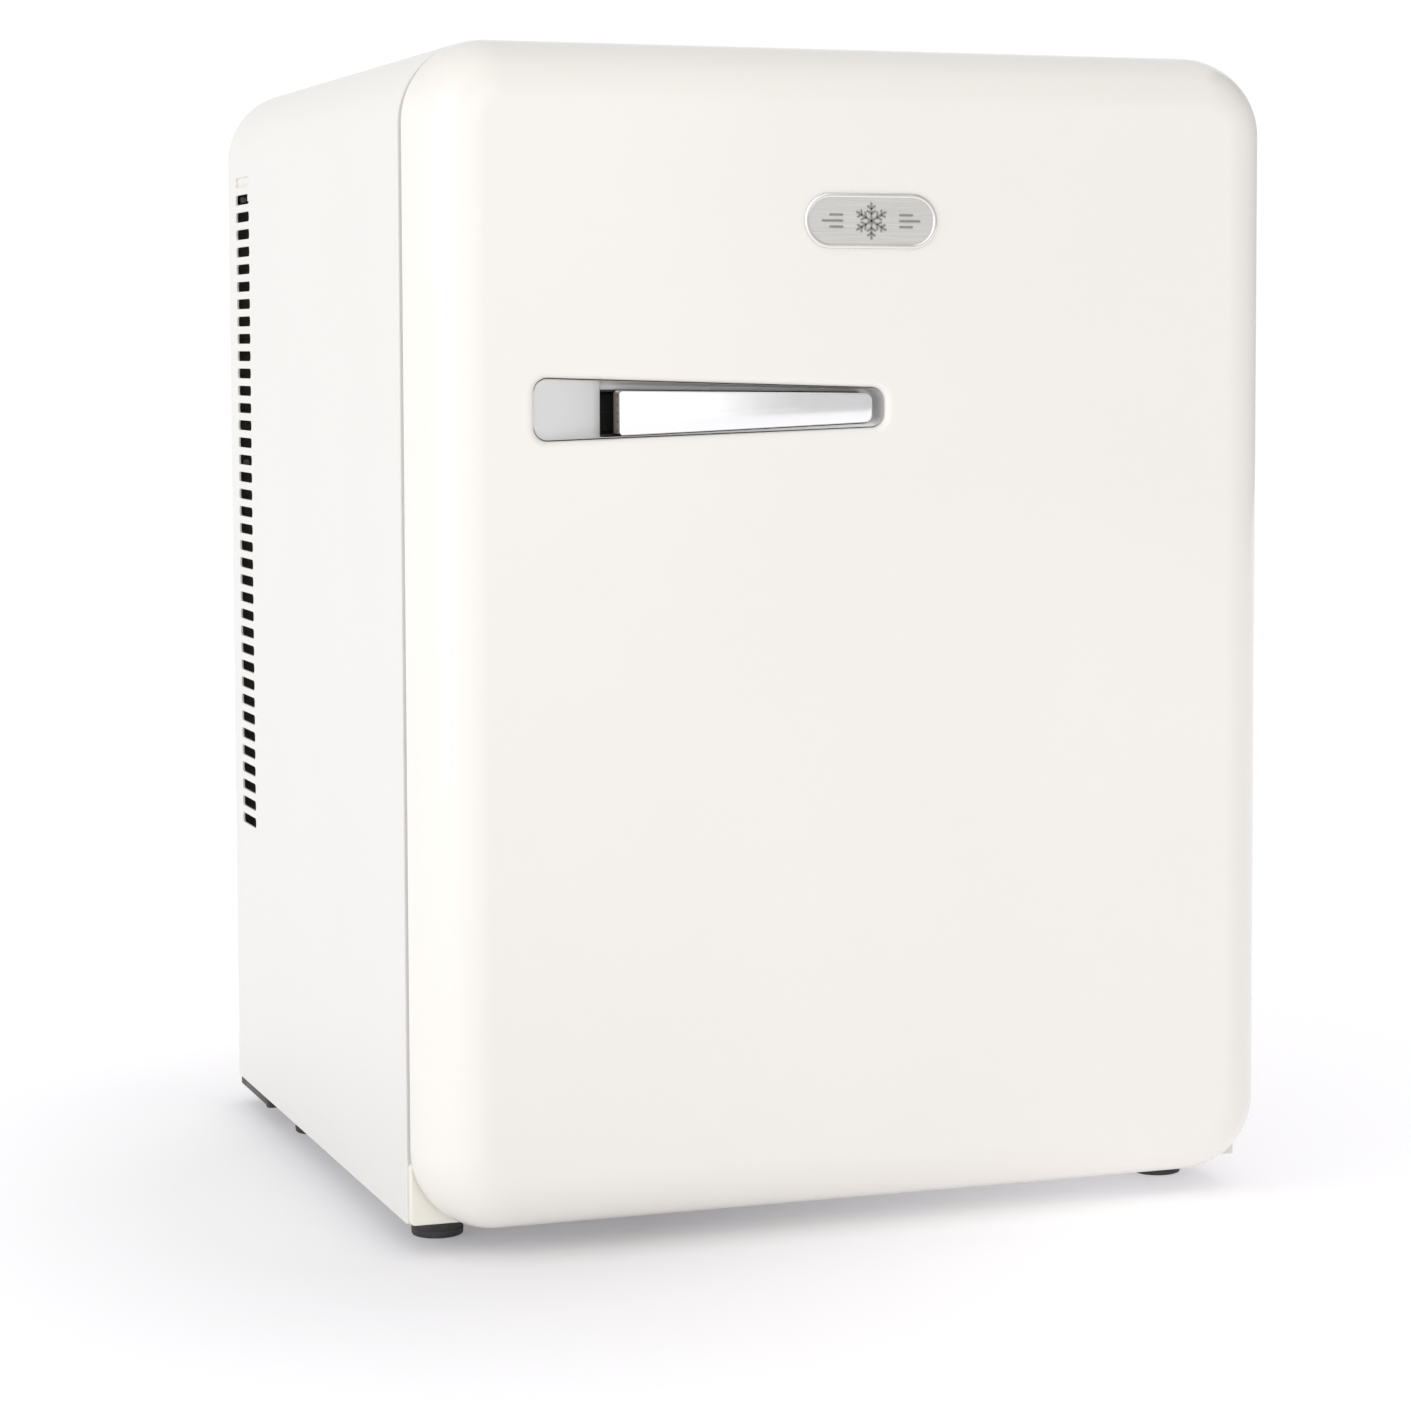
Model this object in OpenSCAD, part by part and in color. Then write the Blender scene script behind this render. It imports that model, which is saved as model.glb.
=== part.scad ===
// Small retro refrigerator: rounded steel cabinet, full-overlay pillow door,
// thermoelectric cooler in a rear air duct.
// Millimetres. Origin on the floor under the centre of the outer box.
// +X to the right when facing the door, +Y to the rear, +Z up.

/* [Outer size] */
// Width over the cabinet sides
overall_w = 400; // [360:5:440]
// Depth from the badge to the rear edge of the cabinet
overall_d = 400; // [396:1:420]
// Height from the floor to the top
overall_h = 525; // [515:5:580]
// Height of the rubber feet
foot_h = 14; // [12:1:16]

/* [Cabinet] */
// Radius of the two upper corners of the cabinet
corner_r = 36; // [34:1:38]
// Thickness of the outer sheet steel
shell_t = 1; // [0.8:0.1:1.2]
// Thickness of the moulded inner liner
liner_t = 1.5; // [1.2:0.1:2]
// Insulation between the outer sheet and the liner
insulation_t = 35.5; // [34:0.5:38]
// Height of the floor of the cold compartment
cavity_floor = 60; // [58:1:64]
// Height of the ceiling of the cold compartment, down from the top
cavity_drop = 44; // [44:1:50]
// Thickness of the insulated rear wall
rear_insulation_t = 33.5; // [33.5:0.5:34]
// Heights of the lower and the upper shelf
shelf_heights = [200, 340];

/* [Side vents] */
// Number of open slots on each side
vent_count = 37; // [30:1:37]
// Distance from one slot to the next
vent_pitch = 8.8; // [8.6:0.1:8.9]
// Length of a slot
vent_l = 32; // [26:1:34]
// Height of a slot
vent_h = 5; // [4:0.5:5.5]

/* [Door] */
// Thickness of the door
door_t = 36; // [36:1:38]
// Gap between door and cabinet
door_gap = 7; // [7:0.5:8]
// How far the rounded edge runs in over the front
door_edge = 27; // [20:1:30]
// Largest opening angle
door_open = 105; // [90:1:110]
// Distance of the hinge axis from the right side
hinge_inset = 15; // [15:0.5:16]

/* [Handle and badge] */
// Length of the tapered handle recess
recess_l = 159; // [155:1:165]
// Height of the recess at its wide end
recess_h1 = 26.8; // [26:0.2:29]
// Height of the recess at its narrow end
recess_h2 = 17.4; // [17:0.2:19]
// Depth of the finger pocket behind the bar
recess_depth = 27; // [22:1:28]
// Width and height of the badge
badge_size = [62, 24];

/* [Hidden] */
$fn = 48;
eps = 0.01;
through = 1; // extra length of a cutting tool past a face

// Main planes
half_w = overall_w / 2;
front_y = -overall_d / 2;
badge_proud = 1;
door_front = front_y + badge_proud;
door_rear = door_front + door_t;
cab_front = door_rear + door_gap;
cab_rear = overall_d / 2;
cab_bottom = foot_h;
door_bottom = cab_bottom - 2;
inner_w = overall_w - 2 * shell_t;

// Front and rear edges of the cabinet sheet
front_flange_w = 14;
rear_flange_w = 10;
cover_recess = 2;
cover_t = 1.2;
cover_rear = cab_rear - cover_recess;
cover_front = cover_rear - cover_t;
base_t = 1.2;
base_top = cab_bottom + base_t;
seam = 0.2;
fit = 0.03; // clearance of a fixed piece in its hole

// Cold compartment
cavity_half = half_w - shell_t - insulation_t - liner_t;
cavity_top = overall_h - cavity_drop;
cavity_back = 85;
cavity_r = 12;
foam_back = cavity_back + liner_t + rear_insulation_t;
back_plate_t = 1.5;
duct_front = foam_back + back_plate_t;

// Bottom front rail
rail_top = cab_bottom + 27;
rail_front = cab_front - 5.5;
rail_back = cab_front + 3;
rail_gap = 0.4;
rail_end = 140;

// Side vents
vent_top = overall_h - 56;
vent_front = cab_rear - 50;
vent_r = 2;
block_bottom = vent_top + 5;

// Hinge
pin_x = half_w - hinge_inset;
pin_y = door_rear - 13;
pin_r = 3;
pin_l = 22;
bush_r = 6;
bush_bore_r = 3.05;
tongue_r = 7;
tongue_t = 3;
tongue_clear = 0.5;
upper_tongue = overall_h - 26;
lower_tongue = cab_bottom + 17;
bracket_l = 42;
bracket_h = 10;
bracket_t = 2;
bracket_screws = [156, 170];

// Gasket
gasket_out = half_w - 12;
gasket_w = 14;
gasket_bottom = cab_bottom + 30;
gasket_top = overall_h - 28;
gasket_seat = 1;
gasket_clear = 0.6;

// Door layers
skin_t = 1.5;
panel_t = 2;
panel_in = skin_t + 0.4;
door_steps = 9;

// Handle
recess_left = -152;
recess_mid = 367.7;
recess_r = [6, 8];
ramp_end = -120.3;
ramp_depth = 10;
ledge_y = door_front + 13;
tray_wall = 1.5;
tray_floor = door_front + recess_depth;
bar_x = [-114, 1.6];
bar_z0 = [356.4, 375.6];
bar_z1 = [361, 374];
bar_r = [1.5, 4.5];
bar_front = door_front + 0.5;
bar_back = bar_front + 10;
post_x = [-20, -8];
post_z = 367;
slot_x = [ramp_end, post_x[0] - 5];
slot_clear = 0.4;

// Badge
badge_z = 448.5;
badge_step = 0.4;

// Cooler stack, from the cold side to the hot side
cooler_z = 410;
cover_half = 88;
cover_y = 45;
cover_wall = 2;
cover_low = 352;
cover_high = 468;
cold_fan = 60;
hot_fan = 92;
cold_sink_front = 58;
cold_sink_base = 79;
cold_block_back = 101;
peltier_back = 105;
hot_base_back = duct_front + 6;
hot_fin_back = 158;
knob_x = 64;
axle_r = 2;
axle_clear = 0.05;

// Shelves and ribs
rib_w = 6;
rib_h = 4;
rib_front = -128;
rib_back = 80;
shelf_front = -92;
shelf_back = 40;
shelf_half = cavity_half - 3.5;
guard_h = 15.5;
shelf_lift = 0.3;
frame_wire = 2.5;
bar_wire = 1.5;

// Door racks
rack_half = 145;
rack_wall = 2.4;
rack_floor = 2;
rack_slope = 3.5;
rack_back = door_rear + 0.5;
rack_front = -118;
rack_h = 45;
rack_heights = [80, 300];
rib_in = 146;
rib_out = 150;
lug_y = [-152, -146];
lug_low = 30;
lug_h = 6;
rail_wire = 1.5;
rail_rise = 20;

// Feet
foot_r = 12;
front_foot = [177, -120];
rear_foot = [178, 112];
stud_r = 4;
stud_clear = 0.04;
insert_r = 7;
screw_r = 2;
stud_top = 30.6;

steel_white = "#f3f1ea";
liner_white = "#eeeeea";
rail_beige = "#e3e0d4";
dark_rubber = "#404040";

// ---------------------------------------------------------------- helpers

// Extrudes an outline drawn in X and Z along Y, from y0 to y1
module along_y(y0, y1)
    translate([0, y1, 0]) rotate([90, 0, 0]) linear_extrude(y1 - y0) children();

// Extrudes an outline drawn in Y and Z along X, from x0 to x1
module along_x(x0, x1)
    translate([x0, 0, 0]) rotate([90, 0, 90]) linear_extrude(x1 - x0) children();

// Box between two corners
module block(lo, hi) translate(lo) cube(hi - lo);

// Round bar or hole along Y
module rod_y(x, z, r, y0, y1) translate([x, y1, z]) rotate([90, 0, 0]) cylinder(r = r, h = y1 - y0);

// Round bar or hole along Z
module rod_z(x, y, r, z0, z1) translate([x, y, z0]) cylinder(r = r, h = z1 - z0);

// Round bar along X
module rod_x(y, z, r, x0, x1) translate([x0, y, z]) rotate([0, 90, 0]) cylinder(r = r, h = x1 - x0);

// Rectangle with round corners, between two corners
module round_rect(lo, hi, r) {
    translate([lo[0], lo[1] + r]) square([hi[0] - lo[0], hi[1] - lo[1] - 2 * r]);
    translate([lo[0] + r, lo[1]]) square([hi[0] - lo[0] - 2 * r, hi[1] - lo[1]]);
    for (x = [lo[0] + r, hi[0] - r], z = [lo[1] + r, hi[1] - r])
        translate([x, z]) circle(r);
}

// Cabinet outline: round upper corners, square lower corners
module arch(half, z0, z1, r) {
    translate([-half, z0]) square([2 * half, z1 - r - z0]);
    translate([r - half, z0]) square([2 * (half - r), z1 - z0]);
    for (side = [-1, 1]) translate([side * (half - r), z1 - r]) circle(r);
}

// Cabinet outline, moved inwards by inset
module cabinet_outline(inset, z0)
    arch(half_w - inset, z0, overall_h - inset, corner_r - inset);

// ---------------------------------------------------------------- cabinet

// All the slots of one side, in Y and Z: the open ones and one blocked slot above them
module vent_slots()
    for (i = [-1 : vent_count - 1])
        let (z = vent_top - i * vent_pitch)
            round_rect([vent_front, z - vent_h / 2], [vent_front + vent_l, z + vent_h / 2], vent_r);

// Openings in the front edge where the hinge tongues come out
module tongue_slots()
    for (z = [upper_tongue, lower_tongue])
        block([pin_x - tongue_r - tongue_clear, cab_front - through, z - tongue_clear],
              [pin_x + tongue_r + tongue_clear, rail_back + eps, z + tongue_t + tongue_clear]);

module outer_shell() color(steel_white) difference() {
    union() {
        difference() {
            along_y(cab_front, cab_rear) cabinet_outline(0, cab_bottom);
            along_y(cab_front - through, cab_rear + through)
                cabinet_outline(shell_t, cab_bottom - through);
        }
        shell_flange(cab_front, front_flange_w);
        shell_flange(cover_front - shell_t, rear_flange_w);
    }
    along_x(-half_w - through, half_w + through) vent_slots();
    tongue_slots();
    cover_screw_places() rod_y(0, 0, 1.6, cab_rear - 10, cab_rear);
}

// Edge of the sheet turned inwards
module shell_flange(y, width) difference() {
    along_y(y, y + shell_t) cabinet_outline(shell_t / 2, cab_bottom);
    along_y(y - through, y + shell_t + through) cabinet_outline(width, cab_bottom - through);
}

module base_plate() color("silver") difference() {
    block([-inner_w / 2, rail_back, cab_bottom], [inner_w / 2, cover_front - shell_t, base_top]);
    foot_places(front_foot) rod_z(0, 0, insert_r + fit, 0, base_top + through);
    foot_places(rear_foot) rod_z(0, 0, screw_r + fit, 0, base_top + through);
}

module foot_places(place) for (side = [-1, 1]) translate([side * place[0], place[1], 0]) children();

module bottom_front_rail() color(rail_beige) difference() {
    union() {
        along_y(rail_front, cab_front - rail_gap)
            round_rect([-half_w + 0.6, cab_bottom], [rail_end, rail_top], 1);
        along_y(cab_front - rail_gap - eps, cab_front)
            translate([-half_w + front_flange_w + seam, cab_bottom])
                square([half_w - front_flange_w - seam + rail_end - 1, rail_top - cab_bottom]);
        along_y(cab_front, rail_back)
            translate([-half_w + front_flange_w + seam, cab_bottom])
                square([2 * (half_w - front_flange_w - seam), rail_top - cab_bottom]);
    }
    tongue_slots();
    bracket_screw_holes(lower_tongue - 3);
}

module bracket_screw_holes(z)
    for (x = bracket_screws) {
        rod_y(x, z, 1.6, cab_front - through, cab_front + 8);
        translate([x, cab_front, z]) rotate([-90, 0, 0]) cylinder(r1 = 3.2, r2 = 1.6, h = 1.4);
    }

module inner_liner() color(liner_white) difference() {
    union() {
        difference() {
            along_y(cab_front, cavity_back + liner_t)
                cavity_outline(liner_t);
            along_y(cab_front - through, cavity_back) cavity_outline(0);
        }
        difference() {
            along_y(cab_front, cab_front + liner_t)
                cabinet_outline(front_flange_w + seam, rail_top + seam);
            along_y(cab_front - through, cab_front + liner_t + through)
                cavity_outline(liner_t / 2);
        }
        for (z = shelf_heights, side = [-1, 1]) shelf_ribs(side, z);
    }
    tongue_slots();
    bracket_screw_holes(upper_tongue + 5);
    block([-20, cavity_back - through, cooler_z - 20], [20, foam_back, cooler_z + 20]);
    cold_screw_places() rod_y(0, 0, screw_r + fit, cavity_back - through, foam_back);
}

// Section of the cold compartment, grown by extra
module cavity_outline(extra)
    round_rect([-cavity_half - extra, cavity_floor - extra],
               [cavity_half + extra, cavity_top + extra], cavity_r + extra);

// Support rib under a shelf and guide rib over it
module shelf_ribs(side, z)
    for (low = [z - rib_h, z + 8])
        translate([side > 0 ? cavity_half - rib_w : -cavity_half - liner_t / 2, rib_front, low])
            cube([rib_w + liner_t / 2, rib_back - rib_front, rib_h]);

module cabinet_foam() color("#e8d9a8") difference() {
    along_y(cab_front + liner_t, foam_back) cabinet_outline(shell_t, base_top);
    along_y(cab_front, cavity_back + liner_t) cavity_outline(liner_t);
    block([-half_w, cab_front, cab_bottom], [half_w, rail_back, rail_top]);
    block([-20, cavity_back, cooler_z - 20], [20, peltier_back, cooler_z + 20]);
    block([-22, peltier_back - eps, cooler_z - 22], [22, foam_back + through, cooler_z + 22]);
    cold_screw_places() rod_y(0, 0, screw_r + fit, cavity_back, cavity_back + 8);
    foot_places(front_foot) rod_z(0, 0, insert_r + fit, 0, stud_top + 1.4);
    foot_places(rear_foot) rod_z(0, 0, screw_r + fit, 0, 24);
    bracket_pocket(upper_tongue, cab_front + liner_t);
    bracket_pocket(lower_tongue + tongue_t - bracket_h, rail_back);
    for (z = [upper_tongue + 5, lower_tongue - 3]) bracket_screw_holes(z);
}

module bracket_pocket(z, y)
    block([pin_x + tongue_r - bracket_l, y - through, z], [pin_x + tongue_r, y + bracket_t, z + bracket_h]);

module inner_back_plate() color("gainsboro") difference() {
    along_y(foam_back, duct_front) cabinet_outline(shell_t, base_top);
    block([-22, foam_back - through, cooler_z - 22], [22, duct_front + through, cooler_z + 22]);
}

// Pale foam block over the air duct, with a lip that reaches down at its front
module duct_ceiling_block() color("ivory") {
    intersection() {
        along_y(duct_front, cover_front - shell_t) cabinet_outline(shell_t, block_bottom);
        block([-half_w, duct_front, block_bottom], [half_w, cover_front, overall_h]);
    }
    block([-inner_w / 2, duct_front, block_bottom - 6], [inner_w / 2, vent_front + 8, block_bottom + eps]);
}

module cover_screw_places()
    for (side = [-1, 1], z = [45, 190, 335, 470]) translate([side * (half_w - 6), 0, z]) children();

module rear_cover() color(steel_white) difference() {
    along_y(cover_front, cover_rear) cabinet_outline(shell_t + seam, cab_bottom);
    cover_screw_places() rod_y(0, 0, 1.6, cover_front - through, cover_rear + through);
    along_y(cover_front - through, cover_rear + through) {
        for (i = [-5 : 5])
            let (half = sqrt(44 * 44 - 64 * i * i), z = cooler_z + 8 * i)
                round_rect([-half, z - 2], [half, z + 2], 1.9);
        for (i = [0 : 15], x = [-110, 20])
            round_rect([x, 130 + 9 * i], [x + 90, 134 + 9 * i], 1.9);
    }
    inlet_body(cover_front - through, cover_rear + through, 14, 10);
}

module rear_cover_screws() color("silver") cover_screw_places() {
    rod_y(0, 0, 1.6, cab_rear - 10, cover_rear + eps);
    translate([0, cover_rear + 1.6, 0]) rotate([90, 0, 0]) cylinder(r1 = 2.4, r2 = 3.4, h = 1.6);
}

// Dark plastic frame under the rear edge, with an arm and a small heel on each side
module rear_base_frame() color(dark_rubber) {
    block([-half_w + 0.6, 187, 9.5], [half_w - 0.6, cab_rear, cab_bottom]);
    for (side = [-1, 1]) {
        along_y(137, cab_rear) translate([side * (half_w - 6.6), (9.5 + cab_bottom) / 2])
            square([12, cab_bottom - 9.5], center = true);
        along_y(133, 139) translate([side * (half_w - 6.6), (8.6 + cab_bottom) / 2])
            square([12, cab_bottom - 8.6], center = true);
    }
}

module foot_profile(top)
    polygon([[0, 0], [foot_r - 0.8, 0], [foot_r - 0.3, 0.8], [foot_r, top], [0, top]]);

module rear_feet() color(dark_rubber) foot_places(rear_foot) difference() {
    rotate_extrude() foot_profile(cab_bottom);
    rod_z(0, 0, 5, -through, 6);
    rod_z(0, 0, screw_r + fit, 5, cab_bottom + through);
}

module rear_foot_screws() color("silver") foot_places(rear_foot) {
    rod_z(0, 0, screw_r, 6, 24);
    rod_z(0, 0, 4.2, 3.5, 6);
}

module front_foot_inserts() color("dimgray") foot_places(front_foot) difference() {
    rod_z(0, 0, insert_r, cab_bottom, stud_top + 1.4);
    rod_z(0, 0, stud_r + stud_clear, cab_bottom - through, stud_top + 0.4);
}

module front_foot(side) color(dark_rubber) translate([side * front_foot[0], front_foot[1], 0]) {
    rotate_extrude() foot_profile(cab_bottom - 0.4);
    rod_z(0, 0, stud_r, cab_bottom - 0.4 - eps, stud_top);
}

// ---------------------------------------------------------------- hinge

// Angle bracket behind the front edge: a tongue comes forward and carries the pin
module hinge_bracket(tongue, plate_z, plate_y) color("silver") difference() {
    union() {
        block([pin_x + tongue_r - bracket_l, plate_y, plate_z],
              [pin_x + tongue_r, plate_y + bracket_t, plate_z + bracket_h]);
        block([pin_x - tongue_r, pin_y, tongue], [pin_x + tongue_r, plate_y + bracket_t, tongue + tongue_t]);
        rod_z(pin_x, pin_y, tongue_r, tongue, tongue + tongue_t);
    }
    rod_z(pin_x, pin_y, pin_r + fit, tongue - through, tongue + tongue_t + through);
    for (x = bracket_screws) rod_y(x, plate_z + (tongue > plate_z ? 4 : 5), 1.6, plate_y - through, plate_y + 4);
}

module hinge_pin(z0) color("silver") rod_z(pin_x, pin_y, pin_r, z0, z0 + pin_l);

module hinge_screws() color("silver")
    for (x = bracket_screws, z = [upper_tongue + 5, lower_tongue - 3]) {
        rod_y(x, z, 1.6, cab_front + 1, cab_front + 8);
        translate([x, cab_front, z]) rotate([-90, 0, 0]) cylinder(r1 = 3.2, r2 = 1.6, h = 1.4);
    }

// Nylon bush: open at the face where the pin comes in, closed at the other end
module hinge_bush(face, up) color("white") translate([pin_x, pin_y, face]) mirror([0, 0, up ? 0 : 1])
    difference() {
        union() {
            cylinder(r = bush_r, h = pin_l - 1);
            cylinder(r = bush_r + 1.2, h = 1);
        }
        translate([0, 0, -through]) cylinder(r = bush_bore_r, h = pin_l - 2 + through);
    }

// Room that the tongue sweeps inside the door, and the seat of the bush
module hinge_cut(tongue, up) translate([pin_x, pin_y, 0]) {
    r = tongue_r + 0.6;
    reach = 40;
    edge = [r * cos(-door_open), r * sin(-door_open)];
    way = [sin(door_open), cos(door_open)] * reach;
    translate([0, 0, tongue - tongue_clear]) linear_extrude(tongue_t + 2 * tongue_clear) {
        circle(r);
        polygon([[-r, 0], [-r, reach], [reach, reach], edge + way, edge]);
    }
    translate([0, 0, up ? tongue + tongue_t + tongue_clear : tongue - tongue_clear])
        mirror([0, 0, up ? 0 : 1]) {
            translate([0, 0, -eps]) cylinder(r = bush_r, h = pin_l - 1 + eps);
            translate([0, 0, -eps]) cylinder(r = bush_r + 1.2, h = 1 + eps);
        }
}

module hinge_cuts() {
    hinge_cut(upper_tongue, false);
    hinge_cut(lower_tongue, true);
}

// ---------------------------------------------------------------- cooler

module cold_block() color("silver")
    block([-20, cold_sink_base + 6, cooler_z - 20], [20, cold_block_back, cooler_z + 20]);

module peltier_module() color("white")
    block([-20, cold_block_back, cooler_z - 20], [20, peltier_back, cooler_z + 20]);

module hot_spreader_block() color("peru")
    block([-22, peltier_back, cooler_z - 22], [22, duct_front, cooler_z + 22]);

module heatsink(half_x, half_z, base_y, base_back, fin_y, fin_back, count) {
    block([-half_x, base_y, cooler_z - half_z], [half_x, base_back, cooler_z + half_z]);
    step = (2 * half_x - 1.6) / (count - 1);
    for (i = [0 : count - 1])
        block([-half_x + i * step, fin_y, cooler_z - half_z],
              [-half_x + i * step + 1.6, fin_back, cooler_z + half_z]);
}

module cold_heatsink() color("silver")
    heatsink(40, 40, cold_sink_base, cavity_back, cold_sink_front, cold_sink_base + eps, 13);

module hot_heatsink() color("silver")
    heatsink(60, 56, duct_front, hot_base_back, hot_base_back - eps, hot_fin_back, 19);

// Square fan frame with round opening, three struts, motor plate and axle
module fan_frame(y0, size, depth, plate_r) difference() {
    union() {
        difference() {
            along_y(y0, y0 + depth) translate([0, cooler_z]) round_rect([-size, -size] / 2, [size, size] / 2, 4);
            rod_y(0, cooler_z, size / 2 - 2, y0 - through, y0 + depth + through);
        }
        rod_y(0, cooler_z, plate_r, y0 + depth - 1.8, y0 + depth);
        rod_y(0, cooler_z, axle_r, y0 + 2, y0 + depth - 1);
        for (a = [30, 150, 270])
            translate([0, y0 + depth - 1.8, cooler_z]) rotate([0, a, 0])
                translate([plate_r - 1, 0, -1.5]) cube([size / 2 - plate_r, 1.8, 3]);
    }
    for (x = [-1, 1], z = [-1, 1])
        rod_y(x * (size / 2 - 4.5), cooler_z + z * (size / 2 - 4.5), 2, y0 - through, y0 + depth + through);
}

// Fan wheel: hub with a bore and pitched blades
module fan_rotor(y0, size, depth, hub_r) {
    tip = size / 2 - 3.5;
    difference() {
        union() {
            rod_y(0, cooler_z, hub_r, y0 + 1.2, y0 + depth - 2.4);
            for (i = [0 : 6])
                translate([0, y0 + (depth - 1.2) / 2, cooler_z]) rotate([0, i * 360 / 7, 0])
                    translate([hub_r - 1, 0, 0]) rotate([40, 0, 0])
                        translate([0, -0.6, -depth * 0.35]) cube([tip - hub_r, 1.2, depth * 0.7]);
        }
        rod_y(0, cooler_z, axle_r + axle_clear, y0, y0 + depth);
    }
}

module hot_fan_frame() color("#303030") fan_frame(hot_fin_back, hot_fan, 25, 18);
module hot_fan_rotor() color("#3a3a3a") fan_rotor(hot_fin_back, hot_fan, 25, 17);
module cold_fan_frame() color("#303030") fan_frame(cover_y + cover_wall + 1, cold_fan, 10, 11);
module cold_fan_rotor() color("#3a3a3a") fan_rotor(cover_y + cover_wall + 1, cold_fan, 10, 10);

module cold_screw_places() for (side = [-1, 1]) translate([side * 95, 0, cooler_z]) children();

module cold_air_cover() color(liner_white) difference() {
    union() {
        difference() {
            along_y(cover_y, cavity_back) round_rect([-cover_half, cover_low], [cover_half, cover_high], 10);
            along_y(cover_y + cover_wall, cavity_back + through)
                round_rect([-cover_half + cover_wall, cover_low + cover_wall],
                           [cover_half - cover_wall, cover_high - cover_wall], 8);
        }
        for (side = [-1, 1])
            along_y(cavity_back - 2, cavity_back) translate([side * (cover_half + 6), cooler_z])
                square([16, 18], center = true);
    }
    along_y(cover_y - through, cover_y + cover_wall + through)
        for (i = [-4 : 4])
            round_rect([-27, cooler_z + 6 * i - 1.5], [27, cooler_z + 6 * i + 1.5], 1.4);
    for (i = [-5 : 5])
        block([12 * i - 3.5, cover_y + 10, cover_low - through], [12 * i + 3.5, cavity_back - 6, cover_low + 3]);
    rod_y(knob_x, cooler_z, 3.05, cover_y - through, cover_y + cover_wall + through);
    cold_screw_places() rod_y(0, 0, screw_r + fit, cavity_back - 3, cavity_back + through);
}

module cold_cover_screws() color("silver") cold_screw_places() {
    rod_y(0, 0, screw_r, cavity_back - 2 - eps, cavity_back + 8);
    rod_y(0, 0, 3.6, cavity_back - 3.6, cavity_back - 2);
}

module thermostat() color("dimgray") difference() {
    block([knob_x - 11, cover_y + cover_wall, cooler_z - 14], [knob_x + 11, cover_y + 24, cooler_z + 14]);
    rod_y(knob_x, cooler_z, 3.05, cover_y, cover_y + 12);
}

module thermostat_knob() color("white") {
    rod_y(knob_x, cooler_z, 3, cover_y - 1, cover_y + 11);
    rod_y(knob_x, cooler_z, 14, cover_y - 4, cover_y - 0.5);
    along_y(cover_y - 14, cover_y - 4 + eps) translate([knob_x, cooler_z])
        round_rect([-3, -13], [3, 13], 2.5);
}

// ---------------------------------------------------------------- lamp and power

module lamp_housing() color("white") difference() {
    block([-28, -90, cavity_top - 8], [28, -60, cavity_top]);
    block([-26, -88, cavity_top - 8 - through], [26, -62, cavity_top - 2]);
}

module lamp_board() color("seagreen") {
    block([-25, -86, cavity_top - 3.6], [25, -64, cavity_top - 2]);
    for (x = [-16, 0, 16]) block([x - 1.8, -77, cavity_top - 4.6], [x + 1.8, -73, cavity_top - 3.6 + eps]);
}

module lamp_lens() color("lightcyan") union() {
    block([-26, -88, cavity_top - 8], [26, -62, cavity_top - 6]);
    block([-28, -90, cavity_top - 9.5], [28, -60, cavity_top - 8]);
}

module power_supply_case() color("lightgray") difference() {
    block([-70, 128, base_top], [50, 178, base_top + 55]);
    block([-69, 129, base_top + 1], [49, 177, base_top + 54]);
    along_y(176, 179) for (i = [0 : 9]) translate([-60 + 11 * i, base_top + 34]) square([5, 14]);
}

module power_supply_board() color("seagreen") {
    block([-66, 132, base_top + 5], [46, 174, base_top + 6.6]);
    for (x = [-60, 40], y = [136, 170]) rod_z(x, y, 2.5, base_top + 1, base_top + 5 + eps);
    block([-50, 138, base_top + 6.5], [-20, 166, base_top + 32]);
    for (x = [0, 22]) rod_z(x, 152, 9, base_top + 6.5, base_top + 34);
}

// Square section along Y for the power inlet, centred low on the rear cover
module inlet_body(y0, y1, half_x, half_z)
    block([inlet_x - half_x, y0, inlet_z - half_z], [inlet_x + half_x, y1, inlet_z + half_z]);
inlet_x = 110;
inlet_z = 50;

module power_inlet() color("#282828") difference() {
    union() {
        inlet_body(172, cover_rear, 14, 10);
        inlet_body(cover_rear, cab_rear - 0.3, 19, 13);
    }
    inlet_body(182, cab_rear, 12, 8);
}

module inlet_pins() color("gold")
    for (p = [[-7, -1.5], [0, 2], [7, -1.5]])
        block([inlet_x + p[0] - 1, 182, inlet_z + p[1] - 2], [inlet_x + p[0] + 1, 194, inlet_z + p[1] + 2]);

// ---------------------------------------------------------------- shelves

// Height of the wires' centres in the shelf whose ribs are at z
function wire_z(z) = z + shelf_lift + frame_wire;

// Wire shelf: a round wire frame and thinner bars from front to back
module shelf(z) color("#dddddd") {
    for (y = [shelf_front, shelf_back]) rod_x(y, wire_z(z), frame_wire, -shelf_half, shelf_half);
    for (side = [-1, 1]) {
        translate([side * shelf_half, 0, 0]) rod_y(0, wire_z(z), frame_wire, shelf_front, shelf_back);
        for (y = [shelf_front, shelf_back]) translate([side * shelf_half, y, wire_z(z)]) sphere(frame_wire);
    }
    for (i = [-8 : 8]) rod_y(i * 17.5, wire_z(z), bar_wire, shelf_front, shelf_back);
}

// Wire welded on the rear of a shelf, which keeps the cans off the cold air cover
module shelf_guard(z) color("#dddddd") {
    base = wire_z(z) + frame_wire;
    x = shelf_half - 20;
    rod_x(shelf_back, base + guard_h, bar_wire, -x, x);
    for (side = [-1, 1]) {
        rod_z(side * x, shelf_back, bar_wire, base, base + guard_h);
        translate([side * x, shelf_back, base + guard_h]) sphere(bar_wire);
    }
}

// ---------------------------------------------------------------- door

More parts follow.
